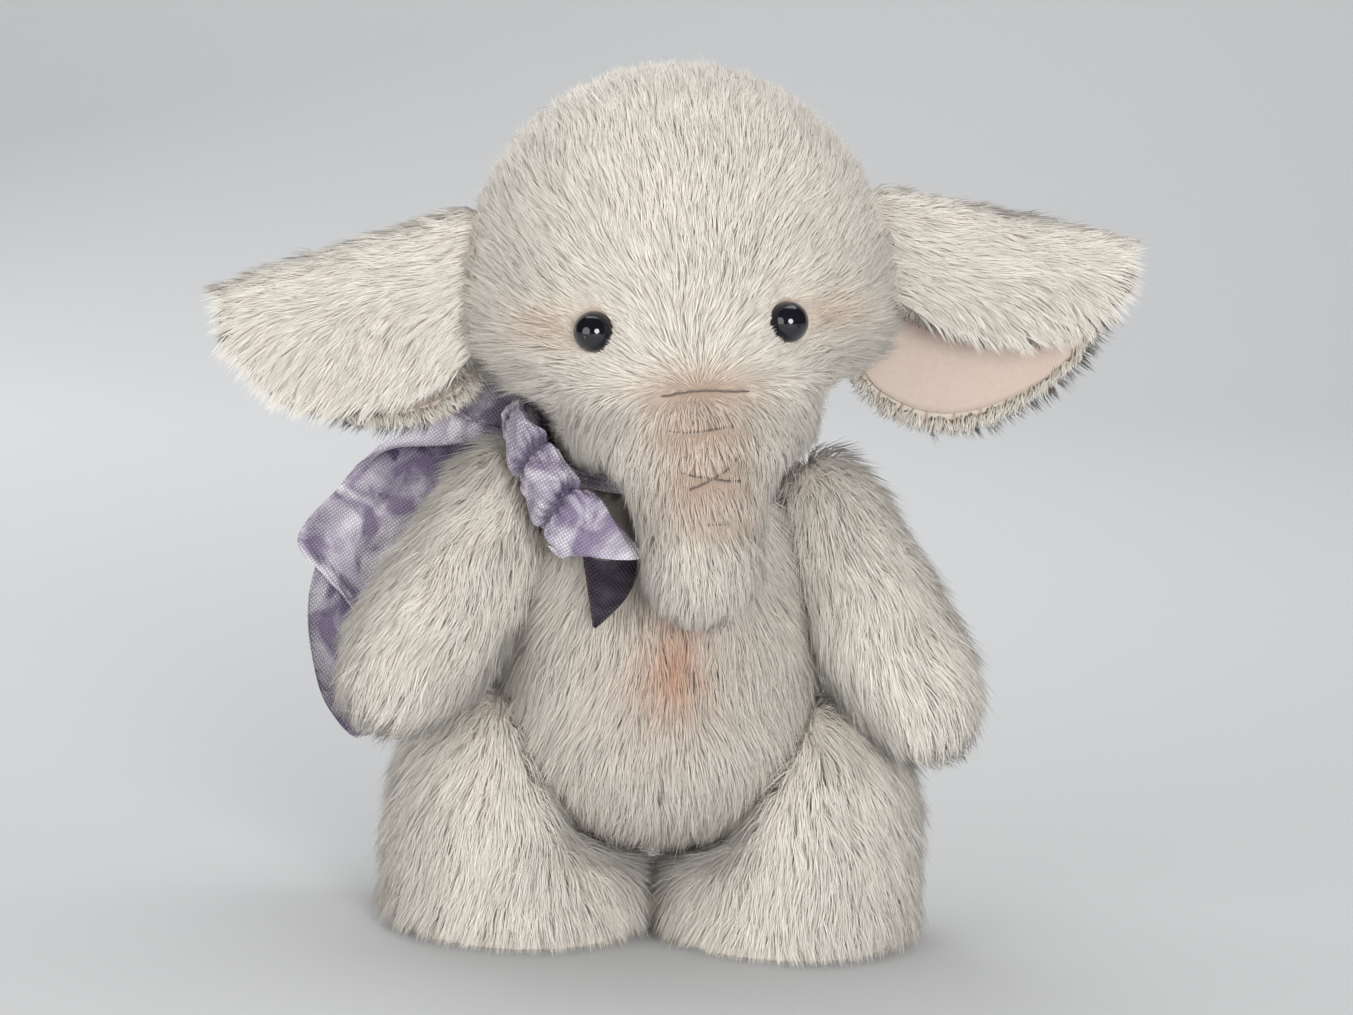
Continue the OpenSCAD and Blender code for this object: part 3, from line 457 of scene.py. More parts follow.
def thread_tubes(name, lines, radius, material, sides=6):
    """Closed round threads along lines of points, slimmer at their ends."""
    verts, faces = [], []
    for line in lines:
        line = np.asarray(line, float)
        way = unit(np.gradient(line, axis=0))
        side = unit(np.cross(way, np.array([0.31, 0.17, 0.93])))
        top = np.cross(way, side)
        first, rows = len(verts), len(line)
        for i in range(rows):
            slim = 0.55 if i in (0, rows - 1) else 1
            for k in range(sides):
                t = 2 * math.pi * k / sides
                verts.append(line[i] + radius * slim * (side[i] * math.cos(t) + top[i] * math.sin(t)))
        for i in range(rows - 1):
            low, high = first + sides * i, first + sides * (i + 1)
            for k in range(sides):
                m = (k + 1) % sides
                faces.append((low + k, low + m, high + m, high + k))
        faces.append(tuple(first + k for k in reversed(range(sides))))
        faces.append(tuple(first + sides * (rows - 1) + k for k in range(sides)))
    return add_mesh(name, np.array(verts), faces, material)


WRINKLES = [
    [(-1.8, 113.7), (2.4, 114.7), (6.5, 115.2), (10.4, 115.1), (14.2, 115.1)],
    [(-0.4, 107.9), (3.6, 107.9), (7.7, 108.5), (11.8, 109.2)],
    [(12.9, 103.7), (11.0, 101.3), (8.3, 99.4), (5.9, 98.0), (3.9, 97.1)],
    [(2.4, 100.3), (4.9, 99.7), (7.7, 99.4), (10.5, 99.0), (13.6, 98.9)],
    [(7.6, 90.6), (11.1, 90.8), (14.4, 91.4)],
]
THREAD_OUT, THREAD_R = 0.55, 0.21
BEFORE_FACE = -90
trunk_thread = thread_material("trunk_thread", (0.10, 0.075, 0.07), (0.22, 0.17, 0.15))
wrinkle_lines = []
for line in WRINKLES:
    placed = []
    for x, z in curve_through(line, np.linspace(0, 1, 24)):
        hit, n, _, _ = skins["head"][0].ray_cast(Vector((x, BEFORE_FACE, z)), Vector((0, 1, 0)))
        placed.append(np.array(hit) + np.array(n) * (THREAD_OUT + 0.15 * math.sin(len(placed) * 1.9)))
    wrinkle_lines.append(np.array(placed))
sewn = thread_tubes("trunk_stitches", wrinkle_lines, THREAD_R, trunk_thread)
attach(sewn, "head")


# Ears: pile cloth behind and a pale peach suede lining in front, sewn together round the rim
# with overcast stitches, folded forward once and sewn to the side of the head.
EAR_LONG, EAR_TIP_X, EAR_SEAM_R, EAR_Z = 60, 88.6, 41.0, 9.5
EAR_BACK = [0.72, 0.94, 1, 0.86, 0.55, 0.12]
EAR_FRONT = [0.78, 0.95, 1, 0.93, 0.72, 0.25]
FOLD_TURN, FOLD_R = math.radians(168), 3.6
FOLD_FROM, FOLD_TO = 0.34, 0.66
EAR_DROOP = math.tan(math.radians(14))
LOBE = 5.5


def ear_point(u, v, o, flap, side):
    """Point of an ear: out along it, round its fold, and off the middle of its two cloths."""
    u, v, o = np.broadcast_arrays(np.asarray(u, float), np.asarray(v, float), np.asarray(o, float))
    back, front = (EAR_LONG - flap) * curve_through(EAR_BACK, u), flap * curve_through(EAR_FRONT, u)
    o = o * np.maximum(0.25, 1 - u ** 6)
    a = FOLD_TURN * (v - FOLD_FROM) / (FOLD_TO - FOLD_FROM)
    c, s = math.cos(FOLD_TURN), math.sin(FOLD_TURN)
    behind = np.stack([-o, -back * (1 - v / FOLD_FROM)], -1)
    fold = np.stack([FOLD_R - (FOLD_R + o) * np.cos(a), (FOLD_R + o) * np.sin(a)], -1)
    over = np.stack([FOLD_R * (1 - c) - o * c, (FOLD_R + o) * s], -1)
    over = over + (front * (v - FOLD_TO) / (1 - FOLD_TO))[..., None] * np.array([s, c])
    at = np.where((v < FOLD_FROM)[..., None], behind, np.where((v < FOLD_TO)[..., None], fold, over))
    y, z = FOLD_R - at[..., 0], EAR_Z + at[..., 1]

    def meets(z):
        return (1 - JAW_IN * jaw_share(z)) * np.sqrt(np.maximum(0, EAR_SEAM_R ** 2 - y * y - z * z))
    root = meets(z - EAR_DROOP * (meets(z - EAR_DROOP * (meets(z) - HEAD_R)) - HEAD_R))
    x = root + (EAR_TIP_X - root) * u
    return head_pose(np.stack([side * x, y, z - EAR_DROOP * (x - HEAD_R)], -1))


def as_tris(quads):
    return np.concatenate([quads[:, [0, 1, 2]], quads[:, [0, 2, 3]]])


def facing_out(verts, quads):
    """Quads turned to face out of the closed form that they make, and the same as triangles."""
    tris = as_tris(quads)
    a, b, c = (verts[tris[:, k]] for k in range(3))
    if (a * np.cross(b, c)).sum() < 0:
        return quads[:, ::-1], tris[:, ::-1]
    return quads, tris


def grid_quads(rows, cols):
    at = np.arange(rows * cols).reshape(rows, cols)
    return at, np.stack([at[:-1, :-1], at[1:, :-1], at[1:, 1:], at[:-1, 1:]], -1).reshape(-1, 4)


def sheet_form(front, back):
    """Closed sheet between two grids of points."""
    rows, cols = front.shape[:2]
    at, quads = grid_quads(rows, cols)
    count = rows * cols
    rim = np.concatenate([at[0, :], at[1:, -1], at[-1, -2::-1], at[-2::-1, 0]])
    edge = np.stack([rim[1:], rim[:-1], rim[:-1] + count, rim[1:] + count], 1)
    verts = np.concatenate([front.reshape(-1, 3), back.reshape(-1, 3)])
    return verts, *facing_out(verts, np.concatenate([quads, quads[:, ::-1] + count, edge]))


def new_group(name, inputs, outputs):
    group = bpy.data.node_groups.new(name, "ShaderNodeTree")
    for way, sockets in (("INPUT", inputs), ("OUTPUT", outputs)):
        for label, kind in sockets.items():
            group.interface.new_socket(label, in_out=way, socket_type="NodeSocket" + kind)
    return group, group.nodes.new("NodeGroupInput").outputs, group.nodes.new("NodeGroupOutput").inputs


def placed_group(tree, group, values):
    node = tree.nodes.new("ShaderNodeGroup")
    node.node_tree = group
    for label, value in values.items():
        feed(tree, node.inputs[label], value)
    return node.outputs


def noise_on(tree, scale, detail, distortion):
    place = tree.nodes.new("ShaderNodeTexCoord")
    noise = tree.nodes.new("ShaderNodeTexNoise")
    for label, value in (("Scale", scale), ("Detail", detail), ("Distortion", distortion)):
        feed(tree, noise.inputs[label], value)
    tree.links.new(place.outputs["Object"], noise.inputs["Vector"])
    return noise.outputs["Fac"]


def sums(tree, kind, a, b):
    node = tree.nodes.new("ShaderNodeMath")
    node.operation = kind
    for socket, value in zip(node.inputs, (a, b)):
        feed(tree, socket, value)
    return node.outputs[0]


mottle, mottle_in, mottle_out = new_group(
    "mottle", {"Dark": "Color", "Pale": "Color", "Scale": "Float", "Detail": "Float", "Distortion": "Float"},
    {"Color": "Color", "Nap": "Float"})
mottle_nap = noise_on(mottle, mottle_in["Scale"], mottle_in["Detail"], mottle_in["Distortion"])
mottle.links.new(mixed(mottle, "MIX", mottle_nap, mottle_in["Dark"], mottle_in["Pale"]), mottle_out["Color"])
mottle.links.new(mottle_nap, mottle_out["Nap"])


def mottled(tree, dark, pale, scale, detail=2, distortion=0):
    """Colour that wanders between two shades, and the nap that it follows."""
    values = {"Dark": dark, "Pale": pale, "Scale": scale, "Detail": detail, "Distortion": distortion}
    outputs = placed_group(tree, mottle, values)
    return outputs["Color"], outputs["Nap"]


suede, suede_tree, suede_shader = new_material("peach_suede", {
    "Roughness": 0.85, "Sheen Weight": 0.3, "Specular IOR Level": 0.2})
suede_colour, _ = mottled(suede_tree, (0.64, 0.52, 0.445), (0.73, 0.63, 0.565), 60)
_, suede_nap = mottled(suede_tree, (0, 0, 0), (1, 1, 1), 900, 4)
suede_worn = sums(suede_tree, "MULTIPLY", suede_nap, 0.35)
suede_colour = mixed(suede_tree, "MULTIPLY", suede_worn, suede_colour, (0.75, 0.62, 0.55))
suede_bump = suede_tree.nodes.new("ShaderNodeBump")
suede_bump.inputs["Strength"].default_value = 0.3
suede_bump.inputs["Distance"].default_value = 0.0003
suede_tree.links.new(suede_nap, suede_bump.inputs["Height"])
suede_tree.links.new(suede_bump.outputs["Normal"], suede_shader.inputs["Normal"])
suede_tree.links.new(suede_colour, suede_shader.inputs["Base Color"])

ear_thread = thread_material("ear_thread", (0.50, 0.38, 0.30), (0.70, 0.58, 0.48))
fold_steps = np.linspace(FOLD_FROM, FOLD_TO, 28)[1:]
ear_u = np.linspace(0, 1, 49)
ear_v = np.concatenate([np.linspace(0, FOLD_FROM, 24), fold_steps, np.linspace(FOLD_TO, 1, 24)[1:]])
LINING_END, LINING_SEAM = 0.955, 0.022
RIM_START = 0.03
rim_u = np.concatenate([np.linspace(RIM_START, 1, 400), np.ones(300), np.linspace(1, RIM_START, 400)])
rim_v = np.concatenate([np.zeros(400), np.linspace(0, 1, 300), np.ones(400)])
ear_faces, ear_rims = [], []
for side, name, flap in ((1, "left_ear", 20), (-1, "right_ear", 27.5)):
    U, V = np.meshgrid(ear_u, ear_v, indexing="ij")
    outer, inner = ear_point(U, V, 0.9, flap, side), ear_point(U, V, 0.1, flap, side)
    verts, faces, tris = sheet_form(outer, inner)
    cloth = add_mesh(name + "_cloth", verts, faces, backing)
    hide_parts(name)
    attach(cloth, "head")
    skins[name] = tree_of(verts, tris)
    _, quads = grid_quads(len(ear_u), len(ear_v))
    ground, tris = outer.reshape(-1, 3), as_tris(quads)
    if (vertex_normals(ground, tris) * (outer - inner).reshape(-1, 3)).sum() < 0:
        tris = tris[:, ::-1]
    ear_faces.append((side, name, ground, tris))

    lining_v = LINING_SEAM + ear_v * (1 - 2 * LINING_SEAM)
    U, V = np.meshgrid(np.linspace(0, LINING_END, 47), lining_v, indexing="ij")
    ripple = 0.12 * np.sin(9 * U + 14 * V) * np.sin(5 * V)
    outer, inner = ear_point(U, V, -0.1, flap, side), ear_point(U, V, -0.9 + ripple, flap, side)
    verts, faces, _ = sheet_form(outer, inner)
    lining = add_mesh(name + "_suede", verts, faces, suede)
    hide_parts(name + "_lining")
    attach(lining, "head")

    rim_at = ear_point(rim_u, rim_v, 0.0, flap, side)
    rim_far = np.concatenate([[0], np.cumsum(np.linalg.norm(np.diff(rim_at, axis=0), axis=1))])
    rim_out = unit(rim_at - ear_point(np.minimum(rim_u, 0.93), np.clip(rim_v, 0.05, 0.95), 0.0, flap, side))
    near_u, near_v = rim_u * 0.98, np.clip(rim_v, 0.02, 0.98)
    rim_face = unit(ear_point(near_u, near_v, -1.0, flap, side) - ear_point(near_u, near_v, 1.0, flap, side))
    ear_rims.append((name, rim_far, rim_at, rim_out, rim_face))
    stitches = []
    k = np.linspace(0, 1, 9)[:, None]
    for far in np.arange(LOBE, rim_far[-1] - 1, LOBE):
        i = int(np.searchsorted(rim_far, far))
        rise = 0.7 + 0.75 * np.sin(np.pi * k)
        stitches.append(rim_at[i] + rim_out[i] * (0.8 - 3.6 * k) + rim_face[i] * rise)
    sewn = thread_tubes(name + "_stitches", stitches, 0.15, ear_thread)
    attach(sewn, "head")


# Eyes: black glass balls on wire shanks, pulled into the face.
# The nodes of the frame keep their shape and take the glass.
glass, glass_tree, glass_shader = new_material("black_glass", {
    "Roughness": 0.04, "Coat Weight": 0.6, "Coat Roughness": 0.02})
glass_colour, _ = mottled(glass_tree, (0.004, 0.004, 0.006), (0.012, 0.012, 0.02), 160)
glass_tree.links.new(glass_colour, glass_shader.inputs["Base Color"])


def finished(node, material):
    node.data.materials.clear()
    node.data.materials.append(material)


for name in ("left_eye", "right_eye"):
    finished(nodes[name], glass)


# Arms: stuffed tubes of the same cloth, flat inside where each is bolted through a board at the
# shoulder, the right one swung further forward than the left.
ARM_TOP, ARM_HALF_L, ARM_HALF_W, ARM_HALF_D = 14, 31.5, 12.5, 13
ARM_SQUARE = 2.5
LIMB_GAP = 0.4
ARMS = ((1, "left_arm", 20), (-1, "right_arm", 31))


def arm_pose(p, side, swing):
    c, s = math.cos(math.radians(-swing)), math.sin(math.radians(-swing))
    p = np.stack([p[..., 0], p[..., 1] * c - p[..., 2] * s, p[..., 1] * s + p[..., 2] * c], -1)
    c, s = math.cos(SHOULDER_TILT), math.sin(SHOULDER_TILT)
    p = np.stack([p[..., 0] * c - p[..., 2] * s, p[..., 1], p[..., 0] * s + p[..., 2] * c], -1)
    return (p + SHOULDER) * (side, 1, 1)


def arm_form(side, swing, inset):
    def point(s, a):
        lat = np.pi * s - np.pi / 2
        e = 2 / ARM_SQUARE
        z = ARM_TOP - ARM_HALF_L + (ARM_HALF_L - inset) * signed_power(np.sin(lat), e)
        wide = np.maximum(0, np.cos(lat)) ** e
        k = ease(-z / (2 * ARM_HALF_L - ARM_TOP))
        half_w, half_d = ARM_HALF_W - inset, ARM_HALF_D - inset
        mid = LIMB_GAP + inset + half_w - (2 * ARM_HALF_W * 0.15 * (1 - k) - k)
        p = np.stack([mid + half_w * wide * np.cos(a), half_d * wide * np.sin(a), z], -1)
        return arm_pose(pressed(p, (-1, 0, 0), -(LIMB_GAP + inset)), side, swing)
    return soft_form(point, 48, 48, 5)


ARM_INSETS = {"left_arm": 1.4, "right_arm": 0.6}
for side, name, swing in ARMS:
    stuffed_skin(name, arm_form(side, swing, ARM_INSETS[name]), name)


# Legs: round columns of the same cloth, bolted at the hip and cut flat below,
# with a sole of felt sewn in round its edge.
LEG_H, LEG_HALF_W, LEG_TAPER, LEG_SQUARE = 48, 24.5, 2, 2.4
LEG_X, LEG_LEAN, FOOT_FORWARD = 26.5, 5, 3
LEG_BASE, LEG_INSET = 3.1, 0.8
HIP_DISC_R, HIP_CURVE = 14, 44
LEG_RINGS = 40
LEGS = ((1, "left_leg"), (-1, "right_leg"))
SOLE_SIDES = 96
SOLE_PROFILE = [(0.01, 0.0), (8, 0.0), (16, 0.0), (22.0, 0.0), (23.2, 0.2), (23.7, 0.7),
                (23.85, 1.4), (23.8, 2.2), (23.4, 2.8), (22.2, 3.0), (12, 3.0), (0.01, 3.0)]


def leg_form(side):
    n = np.array([math.cos(HIP_TILT), 0, -math.sin(HIP_TILT)])
    below = np.array([-math.sin(HIP_TILT), 0, -math.cos(HIP_TILT)])

    def point(s, a):
        first = 1 / LEG_RINGS
        k = np.clip((s - first) / (1 - first), 0, 1)
        e = 2 / LEG_SQUARE
        z = LEG_BASE + (LEG_H - LEG_INSET - LEG_BASE) * np.sin(np.pi / 2 * k) ** e
        wide = np.where(s == 0, 0, np.maximum(0, np.cos(np.pi / 2 * k)) ** e)
        up = z / LEG_H
        r = (LEG_HALF_W - LEG_TAPER * up - LEG_INSET) * wide
        x, y = LEG_X + LEG_LEAN * up, -FOOT_FORWARD * (1 - ease(up))
        p = np.stack([x + r * np.cos(a), y + r * np.sin(a), z], -1)
        off = (p - HIP) @ n
        v = p - HIP - off[..., None] * n
        reach = np.linalg.norm(v, axis=-1)
        down = v @ below / np.maximum(reach, 1e-6)
        fall = np.maximum(0, reach ** 2 - HIP_DISC_R ** 2) / HIP_CURVE * np.clip((down - 0.45) / 0.45, 0, 1)
        return (p + np.maximum(0, LIMB_GAP + LEG_INSET - fall - off)[..., None] * n) * (side, 1, 1)
    return soft_form(point, LEG_RINGS, 56, 3)


felt, felt_tree, felt_shader = new_material("sole_felt", {"Roughness": 0.9})
felt_colour, _ = mottled(felt_tree, (0.74, 0.66, 0.55), (0.88, 0.81, 0.72), 700, 5)
felt_tree.links.new(felt_colour, felt_shader.inputs["Base Color"])
for side, name in LEGS:
    stuffed_skin(name, leg_form(side), name)
    t = 2 * np.pi * np.arange(SOLE_SIDES) / SOLE_SIDES
    x, y = side * LEG_X, -FOOT_FORWARD
    rings = [np.stack([x + r * np.cos(t), y + r * np.sin(t), np.full(SOLE_SIDES, z)], 1)
             for r, z in SOLE_PROFILE]
    at = np.arange(len(SOLE_PROFILE) * SOLE_SIDES).reshape(-1, SOLE_SIDES)
    after = np.roll(at, -1, 1)
    sole_faces = list(np.stack([at[:-1], after[:-1], after[1:], at[1:]], -1).reshape(-1, 4))
    sole_faces += [at[0, ::-1], at[-1]]
    sole = add_mesh(name + "_felt_sole", np.concatenate(rings), sole_faces, felt)
    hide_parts(name + "_sole")
    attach(sole, name)


# Disc joints: pressed fibreboard discs on plated steel washers, drawn together by a round-headed bolt
# and a lock nut at the neck, shoulders and hips, all inside the skins.
board, board_tree, board_shader = new_material("fibreboard", {"Roughness": 0.8})
board_colour, _ = mottled(board_tree, (0.16, 0.09, 0.05), (0.36, 0.24, 0.14), 700, 5)
board_tree.links.new(board_colour, board_shader.inputs["Base Color"])


def spread(tree, value, start, end, low=0.0, high=1.0, kind="LINEAR"):
    node = tree.nodes.new("ShaderNodeMapRange")
    node.interpolation_type = kind
    for label, amount in (("From Min", start), ("From Max", end), ("To Min", low), ("To Max", high)):
        node.inputs[label].default_value = amount
    tree.links.new(value, node.inputs["Value"])
    return node.outputs["Result"]


steel, steel_tree, steel_shader = new_material("plated_steel", {"Metallic": 1})
steel_colour, steel_grain = mottled(steel_tree, (0.50, 0.51, 0.53), (0.66, 0.67, 0.68), 1200)
steel_tree.links.new(steel_colour, steel_shader.inputs["Base Color"])
steel_tree.links.new(spread(steel_tree, steel_grain, 0, 1, 0.22, 0.45), steel_shader.inputs["Roughness"])
for name, node in nodes.items():
    if name.endswith("disc"):
        finished(node, board)
    if name.endswith(("washer", "washers", "bolt", "nut")):
        finished(node, steel)


# Filling: white polyester wadding, packed by hand round the boards and bolts until the skins are firm.
# Each is its node's own form, lumpy and drawn in a little.
LUMP = 0.0003
LUMPS_PER_M = (910, 870, 890)
wadding, wadding_tree, wadding_shader = new_material("wadding", {"Roughness": 0.95})
wadding_colour, _ = mottled(wadding_tree, (0.70, 0.69, 0.66), (0.92, 0.91, 0.89), 260, 6, 3)
wadding_tree.links.new(wadding_colour, wadding_shader.inputs["Base Color"])
for part in ("body", "head", "left_arm", "right_arm", "left_leg", "right_leg"):
    name = part + "_stuffing"
    mesh = nodes[name].data.copy()
    shape = bmesh.new()
    shape.from_mesh(mesh)
    bmesh.ops.remove_doubles(shape, verts=shape.verts, dist=1e-6)
    bmesh.ops.subdivide_edges(shape, edges=shape.edges, cuts=1, use_grid_fill=True)
    bmesh.ops.recalc_face_normals(shape, faces=shape.faces)
    shape.normal_update()
    for vert in shape.verts:
        x, y, z = (at * per_m for at, per_m in zip(vert.co, LUMPS_PER_M))
        vert.co -= vert.normal * LUMP * (1 + math.sin(x) * math.sin(y + 1) * math.sin(z + 2))
    shape.to_mesh(mesh)
    shape.free()
    mesh.materials.clear()
    mesh.materials.append(wadding)
    mesh.shade_smooth()
    piece = bpy.data.objects.new(name + "_wadding", mesh)
    scene.collection.objects.link(piece)
    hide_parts(name)
    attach(piece, "torso" if part == "body" else part)


# Neck band and knot: one length of hand-dyed lavender silk ribbon goes once round the neck, gathered
# into a cord of pleats, and is knotted through itself behind the right shoulder.
silk_dye_and_light, dye_in, dye_out = new_group("silk_dye_and_light", {"Pale": "Color", "Middle": "Color", "Deep": "Color"},
                                      {"Color": "Color", "Weave": "Float"})
dye_light = spread(silk_dye_and_light, noise_on(silk_dye_and_light, 75, 4, 1.6), 0.42, 0.62)
dye_vein = spread(silk_dye_and_light, noise_on(silk_dye_and_light, 130, 2, 2.5), 0.56, 0.74, high=0.3)
# Pieces carry painted light: below zero it pales the silk as a painted highlight, above zero it deepens it
# towards the deep colour as painted shade, over the dye's own mottling and veins.
given_dye_and_light = carried(silk_dye_and_light, "dye_and_painted_light")
dye_and_highlight = sums(silk_dye_and_light, "MAXIMUM", dye_light, sums(silk_dye_and_light, "MULTIPLY", given_dye_and_light, -1))
dye_colour = mixed(silk_dye_and_light, "MIX", dye_and_highlight, dye_in["Middle"], dye_in["Pale"])
dye_and_shade_depth = sums(silk_dye_and_light, "MAXIMUM", sums(silk_dye_and_light, "ADD", dye_vein, given_dye_and_light), given_dye_and_light)
dye_colour = mixed(silk_dye_and_light, "MIX", dye_and_shade_depth, dye_colour, dye_in["Deep"])
dye_place = silk_dye_and_light.nodes.new("ShaderNodeTexCoord")
threads = []
for slope in (0.6, -0.9):
    dye_turn = silk_dye_and_light.nodes.new("ShaderNodeMapping")
    dye_turn.inputs["Rotation"].default_value = (0, slope, 0)
    dye_wave = silk_dye_and_light.nodes.new("ShaderNodeTexWave")
    dye_wave.inputs["Scale"].default_value = 500
    dye_wave.inputs["Distortion"].default_value = 0.6
    silk_dye_and_light.links.new(dye_place.outputs["Object"], dye_turn.inputs["Vector"])
    silk_dye_and_light.links.new(dye_turn.outputs["Vector"], dye_wave.inputs["Vector"])
    threads.append(dye_wave.outputs["Fac"])
dye_weave = sums(silk_dye_and_light, "MULTIPLY", *threads)
# The weave's threads are multiplied brighter than the silk, a painted sheen, and darker between them.
weave_and_sheen = sums(silk_dye_and_light, "ADD", sums(silk_dye_and_light, "MULTIPLY", dye_weave, 0.95), 0.76)
silk_dye_and_light.links.new(mixed(silk_dye_and_light, "MULTIPLY", 1.0, dye_colour, weave_and_sheen), dye_out["Color"])
silk_dye_and_light.links.new(dye_weave, dye_out["Weave"])


def silk_material(name, pale, middle, deep, gloss):
    silk, tree, shader = new_material(name, {
        "Roughness": 0.34, "Specular IOR Level": gloss, "Sheen Weight": 0.5 * gloss, "Sheen Roughness": 0.35})
    dye_and_painted_light = placed_group(tree, silk_dye_and_light, {"Pale": pale, "Middle": middle, "Deep": deep})
    bump = tree.nodes.new("ShaderNodeBump")
    bump.inputs["Strength"].default_value = 0.7
    bump.inputs["Distance"].default_value = 0.0003
    tree.links.new(dye_and_painted_light["Color"], shader.inputs["Base Color"])
    tree.links.new(dye_and_painted_light["Weave"], bump.inputs["Height"])
    tree.links.new(bump.outputs["Normal"], shader.inputs["Normal"])
    return silk


silk = silk_material("lavender_silk", (0.84, 0.80, 0.87), (0.29, 0.24, 0.36), (0.06, 0.04, 0.10), 0.5)
BAND_R, BAND_HALF_W, BAND_HALF_H, BAND_Z = 19.5, 1.95, 2.1, 92.4
BAND_STEPS, PLEATS = 160, 11
BAND_T = 0.12
KNOT, KNOT_R = np.array([-22.08, 12.75, 93.8]), 4.1
band_a = np.linspace(0, 2 * np.pi, BAND_STEPS + 1)[:-1]
band_p = np.linspace(0, 2 * np.pi, 10 * PLEATS + 1)[:-1]
A, P = np.meshgrid(band_a, band_p, indexing="ij")
pleat = 0.72 + 0.26 * np.cos(PLEATS * P + 2.5 * np.sin(3 * A) + 0.8 * np.sin(7 * A))
r = BAND_R + BAND_HALF_W * pleat * np.cos(P)
band_outer = np.stack([r * np.cos(A), r * np.sin(A), BAND_Z + BAND_HALF_H * pleat * np.sin(P)], -1)
band_outer = band_outer.reshape(-1, 3)
at = np.arange(A.size).reshape(A.shape)
after = np.roll(at, -1, 0)
band_quads = np.stack([at, after, np.roll(after, -1, 1), np.roll(at, -1, 1)], -1).reshape(-1, 4)
band_inner = band_outer - BAND_T * vertex_normals(band_outer, as_tris(band_quads))
band_faces = np.concatenate([band_quads, band_quads[:, ::-1] + A.size])
band = add_mesh("neck_ribbon", np.concatenate([band_outer, band_inner]), band_faces, silk)
skins["band"] = tree_of(band_outer, as_tris(band_quads))


def knot_point(s, a):
    lat = np.pi * s - np.pi / 2
    wraps = 0.07 * (1 + np.cos(4 * a + 2.2 * np.sin(lat))) + 0.05 * (1 + np.cos(9 * lat + a))
    r = KNOT_R * (1 - wraps)
    return KNOT + np.stack([r * np.cos(lat) * np.cos(a), r * np.cos(lat) * np.sin(a), r * np.sin(lat)], -1)


knot_verts, knot_tris = ring_form(knot_point, 36, 48)
knot = add_mesh("ribbon_knot_cloth", knot_verts, outward(knot_verts, knot_tris), silk)
for piece, node in ((band, "ribbon_band"), (knot, "ribbon_knot")):
    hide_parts(node)
    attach(piece, "torso")


# Ribbon fold: the slack left standing above the knot, a short piece of the same ribbon
# turned over on itself and held by the knot.
CLOTH_T = 0.35
BACKWARD = np.array([0, 1.0, 0])
FOLD_LOW = [(-25.5, 13.8, 95.5), (-31, 13.2, 97.2), (-38, 12.2, 98.8), (-44, 11.4, 100.6)]
FOLD_TOP = [(-25, 13.8, 101), (-30, 12, 107.3), (-37, 10.6, 109.6), (-45, 10.4, 107.4)]


def thick_sheet(front):
    normal = unit(np.cross(np.gradient(front, axis=0), np.gradient(front, axis=1)))
    return sheet_form(front, front + normal * CLOTH_T)


U, W = np.meshgrid(np.linspace(0, 1, 41), np.linspace(0, 1, 61), indexing="ij")
low, top = curve_through(FOLD_LOW, U), curve_through(FOLD_TOP, U)
puff = (2.6 * np.sin(np.pi * U ** 0.7) + 0.3) * np.sin(2 * np.pi * W) * -0.6
puff += 0.9 * np.sin(14 * U + 5 * W) * np.sin(np.pi * W)
from_crest = 2 * np.abs(W - 0.5)
verts, faces, tris = thick_sheet(top + (low - top) * from_crest[..., None] + BACKWARD * puff[..., None])
fold = add_mesh("ribbon_fold_cloth", verts, faces, silk)
# Its colour is darker overall and runs darker and paler in bands that follow its crumples, as painted shade
# and painted light.
carry(fold.data, "dye_and_painted_light", np.tile(np.clip(0.3 + 0.4 * np.sin(14 * U + 5 * W + 2), 0, 0.8).ravel(), 2))
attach(fold, "torso")
skins["fold"] = tree_of(verts, tris)


# Ribbon loop: out from the knot behind the right arm, rolled over along its upper edge, turned on
# itself at the lower end and back up behind. It hangs free, held by the knot alone.
LOOP_OUTER = [
    (-25.6, 13.6, 97.0), (-37.0, 14.3, 103.6), (-46.0, 16.0, 101.4), (-54.0, 17.6, 96.2), (-62.0, 18.8, 90.2),
    (-68.4, 19.5, 82.4), (-75.6, 20.2, 72.4), (-69.5, 20.0, 64.8), (-63.0, 20.0, 56.6), (-59.0, 20.8, 44.0),
    (-62.0, 22.0, 31.0), (-69.0, 23.0, 37.0), (-72.4, 23.2, 47.2), (-73.4, 23.2, 56.8), (-72.2, 23.8, 66.0),
    (-68.0, 24.8, 75.4), (-61.5, 25.6, 84.0), (-53.5, 25.8, 91.0), (-44.5, 24.4, 95.6), (-34.5, 20.4, 97.4),
    (-25.6, 15.6, 96.0)]
LOOP_INNER = [
    (-25.6, 13.9, 91.2), (-31.0, 15.5, 90.5), (-36.0, 17.0, 88.0), (-40.5, 18.2, 84.0), (-44.5, 19.2, 78.5),
    (-47.5, 19.8, 71.5), (-49.0, 20.0, 63.5), (-48.0, 20.2, 55.0), (-46.0, 20.8, 47.0), (-44.5, 21.6, 39.5),
    (-44.5, 22.6, 33.5), (-44.5, 24.4, 38.5), (-45.5, 25.4, 46.0), (-46.5, 25.8, 54.0), (-46.8, 26.0, 61.5),
    (-45.5, 26.0, 69.0), (-43.0, 25.8, 76.0), (-39.0, 25.0, 82.0), (-34.5, 23.2, 87.0), (-29.8, 19.6, 90.4),
    (-25.6, 15.8, 91.6)]
RIBBON_WIDE = 26


def patch(at_u, at_w, wide_u, wide_w):
    """A soft patch on the loop, round a place across and along it."""
    return np.exp(-((W - at_w) / wide_w) ** 2 - ((U - at_u) / wide_u) ** 2)


